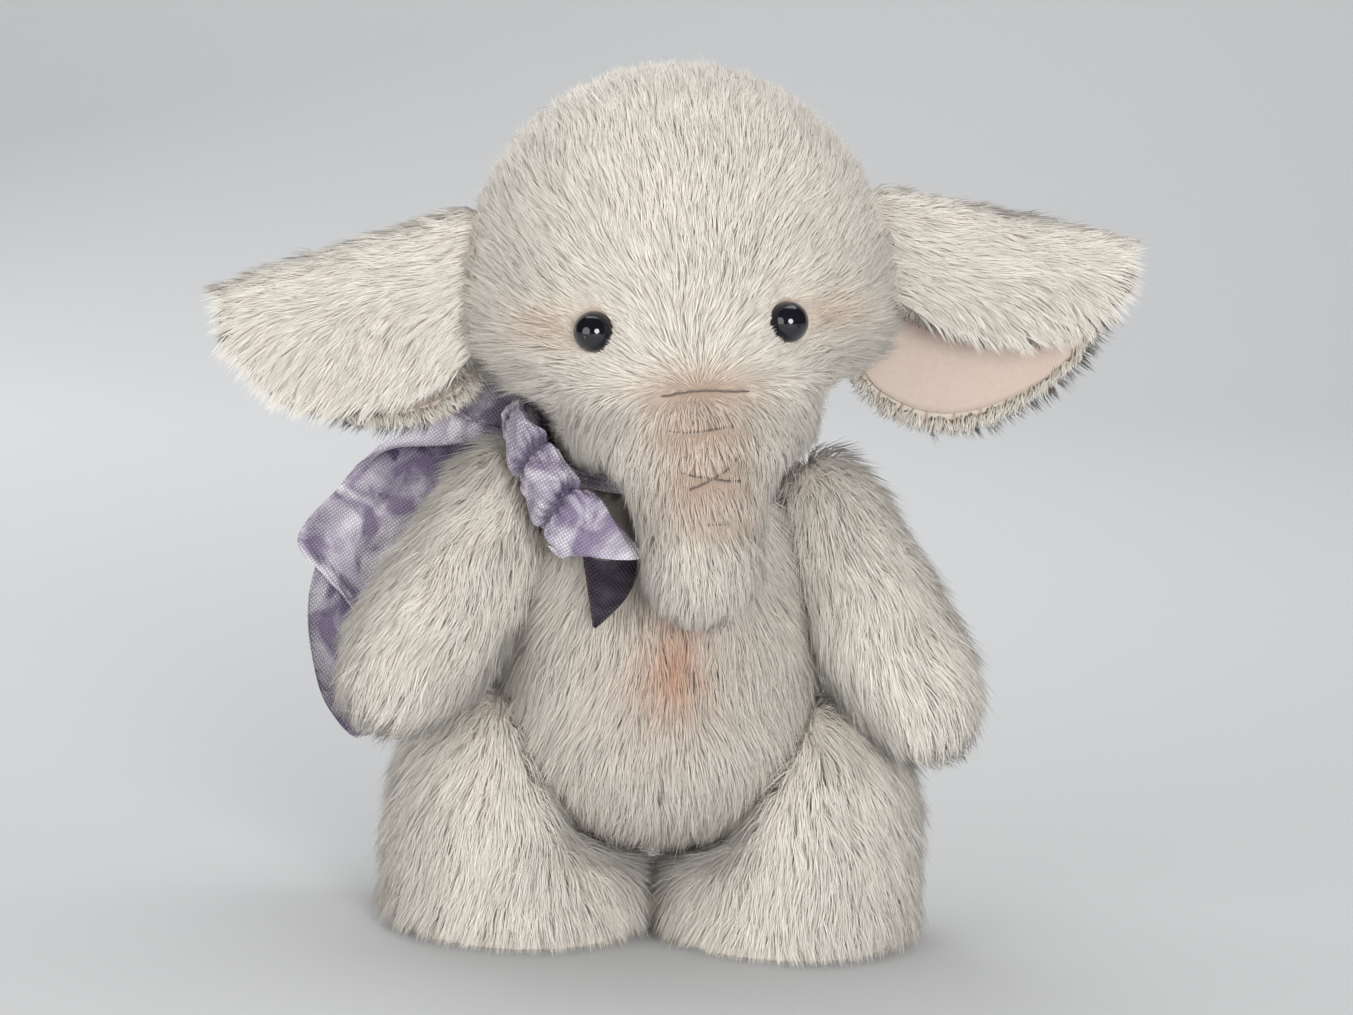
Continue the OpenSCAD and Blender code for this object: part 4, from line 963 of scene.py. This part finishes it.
U, W = np.meshgrid(np.linspace(0, 1, 91), np.linspace(0, 2, 321), indexing="ij")
inner, outer = curve_through(LOOP_INNER, W / 2), curve_through(LOOP_OUTER, W / 2)
width = np.linalg.norm(outer - inner, axis=-1) / RIBBON_WIDE
behind = ease((W - 0.98) / 0.1)
rolled = ease((W - 0.08) / 0.1) * (1 - ease((W - 0.37) / 0.08))
crease = 0.40 + 0.58 * ease((W - 0.14) / 0.27) + 0.02 * np.sin(40 * W)
below = ease((crease - U) / 0.05)
roll_bulge = np.sin(np.pi * np.clip((U - crease) / np.maximum(1 - crease, 0.05), 0, 1))
pocket = below * np.exp(-((crease - U) / 0.34) ** 2)
folds = 1.5 * np.abs(np.sin(np.pi * (2.6 * U + 1.1 * W + 0.15 * np.sin(9 * W)))) ** 0.7 - 0.9
crumple = 0.8 * np.sin(2 * np.pi * (2.3 * U - 2.1 * W) + 1) * np.sin(2 * np.pi * 1.3 * W + 0.5)
crumple += 0.4 * np.sin(2 * np.pi * (1.1 * U + 4.3 * W + 0.3 * np.sin(6 * U)))
lip = (1 - behind) * ease((U - 0.90) / 0.1) * ease((W - 0.58) / 0.06)
depth = rolled * (3.8 * pocket - 1.7 * roll_bulge) + (folds + crumple) * width * (1 - 0.55 * rolled)
depth = depth * ease(W / 0.06) * ease((2 - W) / 0.06) - 1.3 * lip
verts, faces, tris = thick_sheet(inner + (outer - inner) * U[..., None] + BACKWARD * depth[..., None])
loop = add_mesh("ribbon_loop_cloth", verts, faces, silk)
# Painted light and shade on the loop: the pocket under the rolled band, the layer behind and the hollows of
# the folds are darkened as painted shade, the rolled band and its lip are paled as painted highlight, and a
# few listed patches are made darker or paler.
shaded = ease((W - 0.08) / 0.1) * (1 - ease((W - 0.40) / 0.16)) * below * np.exp(-((crease - U) / 0.5) ** 2)
shade = 0.9 * shaded - 0.8 * rolled * (1 - below) * (0.6 + 0.4 * np.sin(17 * W + 3 * U))
shade += (0.25 + 0.45 * ease((1.35 - W) / 0.3)) * behind - 0.9 * lip - 0.18 * folds * (1 - rolled)
shade += 0.55 * patch(0.86, 0.545, 0.13, 0.045) - 0.5 * patch(0.88, 0.45, 0.1, 0.05)
shade -= 0.4 * patch(0.62, 0.64, 0.2, 0.06)
carry(loop.data, "dye_and_painted_light", np.tile(np.clip(shade, -0.9, 0.85).ravel(), 2))
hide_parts("ribbon_loop")
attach(loop, "torso")
skins["loop"] = tree_of(verts, tris)


# Ribbon tail: the ribbon's end, ruched on a drawn thread over the right shoulder and opening into a
# hem whose cut end turns under, near black there as painted shade. It starts at the knot and lies loose
# against the trunk.
TAIL = [(-22.6, 10.0, 96.5), (-26.5, 7, 99.3), (-31, -2, 101.8), (-29.5, -14, 100), (-24, -23.5, 93.5),
        (-17.6, -29.4, 86.3), (-12.2, -32.4, 80.8)]
TAIL_HALF_W, TAIL_HALF_T = 6.5, 3.2
TAIL_WIDE = [0.45, 0.54, 0.64, 0.82, 0.98, 1.0, 1.08]
TAIL_THICK = [0.55, 0.55, 0.65, 0.85, 1.0, 0.95, 0.5]
HEM_Z = 81.0
GATHERS = np.array([0.03, 0.16, 0.30, 0.46, 0.62, 0.78])
TAIL_STEP = 0.02
K, T = np.meshgrid(np.linspace(0, 1, 240), np.linspace(0, 2 * np.pi, 97)[:-1], indexing="ij")
here = curve_through(TAIL, K)
onward, before = np.minimum(1, K + TAIL_STEP), np.maximum(0, K - TAIL_STEP)
way = unit(curve_through(TAIL, onward) - curve_through(TAIL, before))
away = unit(np.cross(way, np.cross(here * (1, 1, 0), way)))
across = np.cross(away, way)
slant = 0.030 * np.sin(T + 0.4) + 0.012 * np.sin(2 * T + 2)
from_gather = K[..., None] + slant[..., None] - GATHERS
drawn = np.exp(-(from_gather / 0.018) ** 2).sum(-1)
pucker = np.exp(-(from_gather / 0.05) ** 2).sum(-1)
creases = np.cos(13 * T + 9 * K)
ruche = 0.11 * np.cos(3 * T + 22 * K) + 0.08 * np.cos(5 * T - 31 * K + 1) + 0.09 * pucker * creases
flare = ease((K - 0.86) / 0.14)
size = (1 - 0.40 * drawn) * (1 + ruche * (1 - 0.7 * flare))
tail_out = here + across * (TAIL_HALF_W * curve_through(TAIL_WIDE, K) * size * np.cos(T))[..., None]
tail_out += away * (TAIL_HALF_T * curve_through(TAIL_THICK, K) * size * np.sin(T))[..., None]
to_hem = HEM_Z + 0.5 * np.cos(2 * T) - tail_out[..., 2]
tail_out += way * (flare * to_hem / np.minimum(way[..., 2], -0.3))[..., None]
reach = np.maximum(np.linalg.norm(tail_out - here, axis=-1), 1.2)
tail_in = here + (tail_out - here) * (1 - CLOTH_T / reach)[..., None]
at = np.arange(K.size).reshape(K.shape)
after = np.roll(at, -1, 1)
tail_quads = np.stack([at[:-1], after[:-1], after[1:], at[1:]], -1).reshape(-1, 4)
tail_ends = [np.stack([after[0], at[0], at[0] + K.size, after[0] + K.size], -1),
             np.stack([at[-1], after[-1], after[-1] + K.size, at[-1] + K.size], -1)]
verts = np.concatenate([tail_out.reshape(-1, 3), tail_in.reshape(-1, 3)])
faces, tris = facing_out(verts, np.concatenate([tail_quads, tail_quads[:, ::-1] + K.size, *tail_ends]))
tail = add_mesh("ribbon_tail_cloth", verts, faces, silk)
skins["tail"] = tree_of(verts, tris)
# Painted light and shade on the tail: deeper in the drawn grooves and puckers as painted shade, paler along
# the crests and at the hem's edge as painted highlight, and near black on its inside face as painted shade.
crest = np.clip(1 - 1.2 * pucker, 0, 1) * np.clip(np.cos(T - 2.2 + 5 * K), 0, 1) ** 2
crest += ease((K - 0.95) / 0.04)
dye_and_painted_light = np.clip(0.12 + 0.9 * drawn + 0.35 * pucker * (creases < -0.2) - 1.0 * crest, -0.9, 0.85)
carry(tail.data, "dye_and_painted_light", np.concatenate([dye_and_painted_light.ravel(), np.full(K.size, 0.9)]))

END_TOP = [(-16.0, -32.6, 81.6), (-13.2, -34.2, 80.2), (-9.4, -34.6, 80.2), (-5.4, -32.6, 81.4)]
END_LOW = [(-13.4, -30.6, 66.6), (-13.1, -31.2, 66.4), (-12.9, -31.4, 66.3), (-12.6, -31.1, 66.4)]
# The turned-under end is a near-black copy of the silk: painted shade where it lies under the hem.
shaded_silk = silk_material("shaded_dark_silk", (0.05, 0.042, 0.06), (0.018, 0.013, 0.023), (0.007, 0.004, 0.010),
                           0.25)
U, V = np.meshgrid(np.linspace(0, 1, 25), np.linspace(0, 1, 41), indexing="ij")
top, low = curve_through(END_TOP, U), curve_through(END_LOW, U)
bulge = np.stack([2.6 * np.sin(np.pi * V) * U ** 2, -0.9 * np.sin(np.pi * V) * np.sin(np.pi * U), 0 * V], -1)
verts, faces, tris = thick_sheet(top + (low - top) * V[..., None] + bulge)
tail_end = add_mesh("ribbon_tail_end", verts, faces, shaded_silk)
skins["tail_end"] = tree_of(verts, tris)
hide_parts("ribbon_tail")
for piece in (tail, tail_end):
    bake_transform(piece)


# Pile: cream synthetic fur, woven into every skin, warm beige at its roots and pale at its tips.
# It is brushed out when the toy is done, clipped over the trunk's stitches and round the eyes,
# and airbrushed with blush at the navel, the trunk and beside the eyes. It is greyed as painted shade
# over the body's front, down the trunk and under the cheeks, and browned round the trunk's stitches,
# partly airbrush and partly painted shade in the stitched dents.
pile_tint, tint_in, tint_out = new_group(
    "pile_tint", {"Root": "Color", "Tip": "Color", "Cool": "Color", "Blush": "Color", "Brown_Airbrush_Shade": "Color"},
    {"Color": "Color"})
tint_length = spread(pile_tint, carried(pile_tint, "tip"), 0.0, 0.75, kind="SMOOTHSTEP")
tint_patches = sums(pile_tint, "ADD", noise_on(pile_tint, 90, 3, 0), 0.2)
# Lock by lock the pile greys at random, and more where painted shade is given to it.
tint_cool = sums(pile_tint, "MULTIPLY", carried(pile_tint, "lock"), tint_patches)
tint_base = mixed(pile_tint, "MIX", tint_length, tint_in["Root"], tint_in["Tip"])
tint_base = mixed(pile_tint, "MIX", tint_cool, tint_base, tint_in["Cool"])
tint_base = mixed(pile_tint, "MULTIPLY", carried(pile_tint, "blush"), tint_base, tint_in["Blush"])
# The brown mix is partly the toy's airbrush and partly painted shade in the stitched dents.
tint_base = mixed(pile_tint, "MULTIPLY", carried(pile_tint, "airbrush_and_shade"), tint_base, tint_in["Brown_Airbrush_Shade"])
pile_tint.links.new(tint_base, tint_out["Color"])
pile, pile_tree, pile_shader = new_material("cream_pile", {
    "Roughness": 0.62, "Specular IOR Level": 0.25, "Sheen Weight": 0.15, "Sheen Roughness": 0.4})
pile_colours = {"Root": (0.85, 0.765, 0.645), "Tip": (0.95, 0.90, 0.815), "Cool": (0.65, 0.605, 0.54),
                "Blush": (0.80, 0.50, 0.37), "Brown_Airbrush_Shade": (0.60, 0.47, 0.40)}
pile_colour = placed_group(pile_tree, pile_tint, pile_colours)["Color"]
pile_tree.links.new(pile_colour, pile_shader.inputs["Base Color"])

rng = np.random.default_rng(7)
PILE_WIDE = 0.10
BACK_THINNED, BACK_WIDER = 0.55, 0.5
NEAR, CLEARANCE = 7.0, 0.25
CROWDED = 0.4
PIECE_MOST = 19500


def points_on(verts, tris, per_mm2):
    """Points at random on a form, so many to the square millimetre, with their normals."""
    a, b, c = (verts[tris[:, k]] for k in range(3))
    area = np.linalg.norm(np.cross(b - a, c - a), axis=1) / 2
    count = int(area.sum() * per_mm2)
    pick = rng.choice(len(tris), count, p=area / area.sum())
    u, v = rng.random(count), rng.random(count)
    flip = u + v > 1
    u[flip], v[flip] = 1 - u[flip], 1 - v[flip]
    normals = vertex_normals(verts, tris)
    w = np.stack([1 - u - v, u, v], 1)[..., None]
    return (verts[tris[pick]] * w).sum(1), unit((normals[tris[pick]] * w).sum(1))


def pile_roots(form, per_mm2, lowest=-2.0):
    """Roots on a form, where it doesn't face the floor. At the back they are fewer, with wider strands."""
    roots, normals = points_on(*form, per_mm2)
    stays = normals[:, 2] > lowest
    roots, normals = roots[stays], normals[stays]
    behind = ease((normals[:, 1] + 0.1) / 0.5)
    keep = rng.random(len(roots)) > BACK_THINNED * behind
    return roots[keep], normals[keep], (PILE_WIDE * (1 + BACK_WIDER * behind))[keep]


def clear_of_others(own, points):
    """Which points keep off every skin but their own."""
    ok = np.ones(len(points), bool)
    for name, (tree, low, high) in skins.items():
        if name == own:
            continue
        for i in np.nonzero(ok & (points > low - 3).all(1) & (points < high + 3).all(1))[0]:
            at, n, _, _ = tree.find_nearest(points[i], NEAR)
            if at is not None and (Vector(points[i]) - at).dot(n) < CLEARANCE:
                ok[i] = False
    return ok


def strands_clear(own, bend, end):
    """Which strands keep off every other skin at their bend, half-way on and at their tip."""
    ok = clear_of_others(own, bend)
    ok[ok] = clear_of_others(own, (0.5 * bend + 0.5 * end)[ok])
    ok[ok] = clear_of_others(own, end[ok])
    return ok


SPIKE = [(0, 2, 1), (0, 1, 4, 3), (1, 2, 5, 4), (2, 0, 3, 5), (3, 4, 6), (4, 5, 6), (5, 3, 6)]
SPIKE_POINTS = 7
SPIKE_SIDES = ((0.1, 0.37, 0.23), (0.37, 0.63, 0.5), (0.63, 0.9, 0.77))
SPIKE_NET = [(0.1, 0.04), (0.5, 0.1), (0.9, 0.04)]
SPIKE_NET += [at for a, b, _ in SPIKE_SIDES for at in ((a, 0.12), (b, 0.12), (b, 0.55), (a, 0.55))]
SPIKE_NET += [at for a, b, tip in SPIKE_SIDES for at in ((a, 0.55), (b, 0.55), (tip, 0.95))]


def strands(name, root, bend, end, normals, r, masks):
    """Strands as closed spikes: three points round the root, three round the bend, and the tip.

    Each has its own cell of the map for baked colours, and is shaded like the cloth under it.
    """
    count = len(root)
    points = np.zeros((count, SPIKE_POINTS, 3))
    shade = np.zeros((count, SPIKE_POINTS, 3))
    for first, centre, to, size in ((0, root, bend - root, 1.0), (3, bend, end - root, 0.82)):
        way = unit(to)
        side = unit(np.cross(way, normals))
        top = np.cross(way, side)
        for k in range(3):
            angle = math.radians(90 + 120 * k)
            radial = side * math.cos(angle) + top * math.sin(angle)
            points[:, first + k] = centre + radial * (r * size)[:, None]
            shade[:, first + k] = unit(0.3 * radial + normals)
    points[:, -1] = end
    shade[:, -1] = unit(normals + 0.3 * unit(end - bend))
    corners = [corner for face in SPIKE for corner in face]
    starts = np.concatenate([[0], np.cumsum([len(face) for face in SPIKE])[:-1]])
    loops = (np.arange(count)[:, None] * SPIKE_POINTS + corners).ravel().astype(np.int32)
    loop_starts = (np.arange(count)[:, None] * len(corners) + starts).ravel().astype(np.int32)
    mesh = bpy.data.meshes.new(name)
    mesh.vertices.add(count * SPIKE_POINTS)
    mesh.vertices.foreach_set("co", ((points.reshape(-1, 3) + AXIS) * MM).astype(np.float32).ravel())
    mesh.loops.add(len(loops))
    mesh.loops.foreach_set("vertex_index", loops)
    mesh.polygons.add(count * len(SPIKE))
    mesh.polygons.foreach_set("loop_start", loop_starts)
    mesh.polygons.foreach_set("use_smooth", np.ones(count * len(SPIKE), bool))
    mesh.update(calc_edges=True)
    tip = np.tile(np.array([0, 0, 0, 0.55, 0.55, 0.55, 1.0]), count)
    for label, values in [("tip", tip)] + [(k, np.repeat(v, SPIKE_POINTS)) for k, v in masks.items()]:
        carry(mesh, label, values)
    cells = int(math.ceil(math.sqrt(count)))
    cell = np.stack([np.arange(count) % cells, np.arange(count) // cells], 1)
    uv = (cell[:, None, :] + np.array(SPIKE_NET)[None]) / cells
    mesh.uv_layers.new(name="OFBake").data.foreach_set("uv", uv.astype(np.float32).ravel())
    mesh.normals_split_custom_set_from_vertices(shade.reshape(-1, 3))
    mesh.materials.append(pile)
    piece = bpy.data.objects.new(name, mesh)
    scene.collection.objects.link(piece)
    return piece


def grow(name, body, own, roots, normals, comb, length, lift=(40, 9), wide=PILE_WIDE, gather=0.24,
         lock_area=2.4, blush=None, airbrush_and_shade=None, painted_shade=0.0, sway=0.15, floor_z=None):
    """Pile on a skin: strands laid along the comb, gathered into locks, kept off the other skins."""
    count = len(roots)
    blush = np.zeros(count) if blush is None else blush
    airbrush_and_shade = np.zeros(count) if airbrush_and_shade is None else airbrush_and_shade
    wide, painted_shade = np.broadcast_to(wide, count), np.broadcast_to(painted_shade, count)
    along = unit(comb - (comb * normals).sum(1)[:, None] * normals)
    # Every root belongs to the nearest of the roots that are chosen as centres of locks.
    centres = rng.choice(count, max(1, int(count / (4.2 * lock_area))), replace=False)
    finder = KDTree(len(centres))
    for i, c in enumerate(centres):
        finder.insert(roots[c], i)
    finder.balance()
    lock = np.array([finder.find(r)[1] for r in roots])
    # The comb wanders over the cloth, and from lock to lock and strand to strand.
    drift = np.sin(roots @ (0.19, 0.13, 0.07) + 1.5 * np.sin(roots @ (0.05, -0.11, 0.16)))
    drift += np.sin(roots @ (-0.10, 0.17, 0.23) + 2.0)
    turn = 0.13 * drift + rng.normal(0, sway, len(centres))[lock] + rng.normal(0, sway * 0.6, count)
    across = np.cross(normals, along)
    along = along * np.cos(turn)[:, None] + across * np.sin(turn)[:, None]
    span = length * (0.78 + 0.36 * rng.random(count))
    span = (span * (0.92 + 0.2 * rng.random(len(centres))[lock]))[:, None]
    stray = rng.normal(0, 5, len(centres))[lock] + rng.normal(0, 6, count)
    low, high = (np.radians(np.clip(x + stray, 2, 85))[:, None] for x in lift)
    # A strand rises from its root to a bend, lies down to its tip, and leans to its lock's centre.
    root = roots - normals * 0.25
    bend = root + span * 0.48 * (along * np.cos(low) + normals * np.sin(low))
    end = bend + span * 0.52 * (along * np.cos(high) + normals * np.sin(high))
    pull = (gather * (0.6 + 0.7 * rng.random(count)))[:, None]
    own_centre = centres[lock]
    end = end + pull * (end[own_centre] - end)
    bend = bend + 0.45 * pull * (bend[own_centre] - bend)
    if floor_z is not None:
        bend[:, 2] = np.maximum(bend[:, 2], floor_z + 0.3)
        end[:, 2] = np.maximum(end[:, 2], floor_z + 0.3 * rng.random(count))
    # Strands that meet another skin are cut short, or left out if that isn't enough.
    free = strands_clear(own, bend, end)
    crowded = ~free
    bend[crowded] = root[crowded] + CROWDED * (bend - root)[crowded]
    end[crowded] = root[crowded] + CROWDED * (end - root)[crowded]
    free[crowded] = strands_clear(own, bend[crowded], end[crowded])
    free = np.nonzero(free)[0]
    free = free[np.argsort(roots[free, 0], kind="stable")]
    parts = max(1, math.ceil(len(free) / PIECE_MOST))
    cool_of = rng.random(len(centres))
    for k, part in enumerate(np.array_split(free, parts)):
        label = name if parts == 1 else f"{name}_{k + 1}"
        # Each lock's random grey, plus the painted shade that is given, goes into the lock mask.
        cool = np.clip(cool_of[lock[part]] * 1.1 - 0.2 + painted_shade[part] + rng.normal(0, 0.12, len(part)), 0, 1)
        piece = strands(label, root[part], bend[part], end[part], normals[part],
                        wide[part] * (0.75 + 0.5 * rng.random(len(part))),
                        {"lock": cool, "blush": blush[part], "airbrush_and_shade": airbrush_and_shade[part]})
        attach(piece, body)


# Body pile, falling from the neck, greyed over its front as painted shade and blushed at the navel.
NAVEL = np.array([2.4, -27.5, 62.4])
roots, normals, wide = pile_roots(forms["body"], 5.4)
comb = np.stack([0.35 * roots[:, 0] / 20, 0.1 * roots[:, 1] / 20, np.full(len(roots), -1.0)], 1)
in_front = roots[:, 1] < 0
away = (roots - NAVEL) * in_front[:, None]
spot = np.exp(-((away[:, 0] / 3.9) ** 2 + (away[:, 2] / 7.0) ** 2) / 2) * in_front
halo = np.exp(-((away[:, 0] / 8.0) ** 2 + (away[:, 2] / 11.0) ** 2) / 2) * in_front
grow("body_pile", "torso", "body", roots, normals, comb, 9.5 - 1.5 * spot, wide=wide,
     blush=0.68 * spot + 0.2 * halo, painted_shade=0.7 * ease(-roots[:, 1] / 16))

# Head pile, brushed up and out from the bridge of the nose, down the trunk and down the nape.
BRIDGE = np.array([0, -44, -17.0])
EYE_BARE, STITCH_BARE = 4.4, 0.75
roots, normals, wide = pile_roots(forms["head"], 5.8)
own = head_unpose(roots)
on_trunk = ease((-14 - own[:, 2]) / 8) * (own[:, 1] < -24)
behind = ease((own[:, 1] + 6) / 22)
nape = np.stack([0.2 * own[:, 0] / 40, np.full(len(own), 0.2), np.full(len(own), -1.0)], 1)
trunk = np.stack([0.25 * own[:, 0] / 12, np.zeros(len(own)), np.full(len(own), -1.0)], 1)
comb = unit((own - BRIDGE) * (1, 0.6, 1) + (0, 0, 1.0))
comb = comb * (1 - behind)[:, None] + nape * behind[:, None]
comb = comb * (1 - on_trunk)[:, None] + trunk * on_trunk[:, None]
comb = head_pose(comb) - head_pose(np.zeros(3))
eye_gap = eye_distance(own)
clipped = clipped_share(own)
cheek = np.exp(-((own[:, 2] + 13) / 11) ** 2) * ease((np.abs(own[:, 0]) - 20) / 10)
cheek = cheek * (1 - behind) * (1 - on_trunk)
stitch_points = np.concatenate(wrinkle_lines)
stitch_finder = KDTree(len(stitch_points))
for i, point in enumerate(stitch_points):
    stitch_finder.insert(point, i)
stitch_finder.balance()
sewn_gap = np.full(len(roots), 9.0)
for i in np.nonzero(clipped > 0.001)[0]:
    sewn_gap[i] = stitch_finder.find(roots[i])[2]
length = 7.0 + 1.5 * behind - 1.2 * np.exp(-((own[:, 1] + 40) / 16) ** 2) * (1 - on_trunk) + 3.2 * cheek
length = length * (1 - 0.48 * clipped) * (0.34 + 0.66 * ease((eye_gap - 4.2) / 7))
length = length * (0.5 + 0.5 * ease((sewn_gap - 0.4) / 2.5))
beside_eye = np.max([np.exp(-(((own[:, 0] - side * 24.5) / 4.0) ** 2 + ((own[:, 2] + 6) / 2.6) ** 2) / 2)
                     for side in (1, -1)], axis=0)
blush = 0.34 * beside_eye * (own[:, 1] < 0) + 0.24 * clipped
# The pile is browned round the trunk's stitches and over the clipped strip, partly the toy's airbrush and
# partly painted shade in the stitched dents, and greyed down the trunk and under the cheeks as painted shade.
airbrush_and_shade = 0.5 * np.exp(-(sewn_gap / 2.4) ** 2) + 0.13 * clipped
painted_shade = 0.7 * on_trunk + 0.3 * cheek
keep = (eye_gap > EYE_BARE) & (sewn_gap > STITCH_BARE)
zone = np.where(on_trunk > 0.5, 0, np.where(own[:, 1] < -16, 1, 2))
for k, name in enumerate(("trunk_pile", "face_pile", "crown_pile")):
    part = keep & (zone == k)
    grow(name, "head", "head", roots[part], normals[part], comb[part], length[part],
         lift=(38 + 16 * cheek[part], 8 + 24 * cheek[part]), wide=0.95 * wide[part],
         blush=blush[part], airbrush_and_shade=airbrush_and_shade[part], painted_shade=painted_shade[part], lock_area=1.8)

# Ear pile, brushed out to the tips and down at the lower edge, then the fringe in lobes round the rims.
for side, name, verts, tris in ear_faces:
    roots, normals = points_on(verts, tris, 5.6)
    own = head_unpose(roots)
    to_tip = head_pose(np.array([side, 0.0, -EAR_DROOP])) - head_pose(np.zeros(3))
    fall = np.stack([np.zeros(len(own)), np.where(own[:, 1] < -2, -0.1, 0.1), np.full(len(own), -1.0)], 1)
    share = 0.5 * ease((4 - own[:, 2]) / 14)[:, None]
    comb = to_tip * (1 - share) + (head_pose(fall) - head_pose(np.zeros(3))) * share
    grow(name + "_pile", "head", name, roots, normals, comb, np.full(len(roots), 6.2),
         lift=(38, 9), lock_area=1.8)
for name, far, at, out, face in ear_rims:
    pick = rng.integers(0, len(far), int(far[-1] * 42))
    lobe = np.abs(np.sin(np.pi * far[pick] / LOBE)) ** 0.6
    turn = rng.uniform(-0.5, 1.5, len(pick))[:, None]
    normals = unit(out[pick] * np.cos(turn) + face[pick] * np.sin(turn))
    roots = at[pick] + rng.normal(0, 0.25, (len(pick), 3))
    roots -= out[pick] * rng.uniform(0, 1.6, len(pick))[:, None] * lobe[:, None]
    roots += face[pick] * np.clip(turn, 0, 0.9)
    comb = out[pick] + 0.2 * rng.normal(0, 1, (len(pick), 3))
    grow(name + "_rim_pile", "head", name, roots, normals, comb, 1.7 + 1.9 * lobe,
         lift=(62, 34), lock_area=1.5, sway=0.4)

# Arm pile, running down to the paws and standing past them.
for side, name, swing in ARMS:
    roots, normals, wide = pile_roots(forms[name], 5.4)
    down = arm_pose(np.array([0.0, 0, -1]), side, swing) - arm_pose(np.zeros(3), side, swing)
    comb = np.broadcast_to(down, roots.shape) + 0.25 * normals * (1, 0, 0)
    grow(name + "_pile", name, name, roots, normals, comb, np.full(len(roots), 9.5), wide=wide)

# Leg pile, hanging to the floor and hiding the seams of the soles.
for side, name in LEGS:
    roots, normals, wide = pile_roots(forms[name], 5.2, lowest=-0.6)
    outside = np.stack([roots[:, 0] - side * 27, roots[:, 1] + FOOT_FORWARD, np.zeros(len(roots))], 1)
    comb = np.array([0, 0, -1.0]) + 0.3 * unit(outside)
    length = 9.8 - 3.4 * ease((9 - roots[:, 2]) / 7)
    grow(name + "_pile", name, name, roots, normals, comb, length, wide=wide, floor_z=0.15)
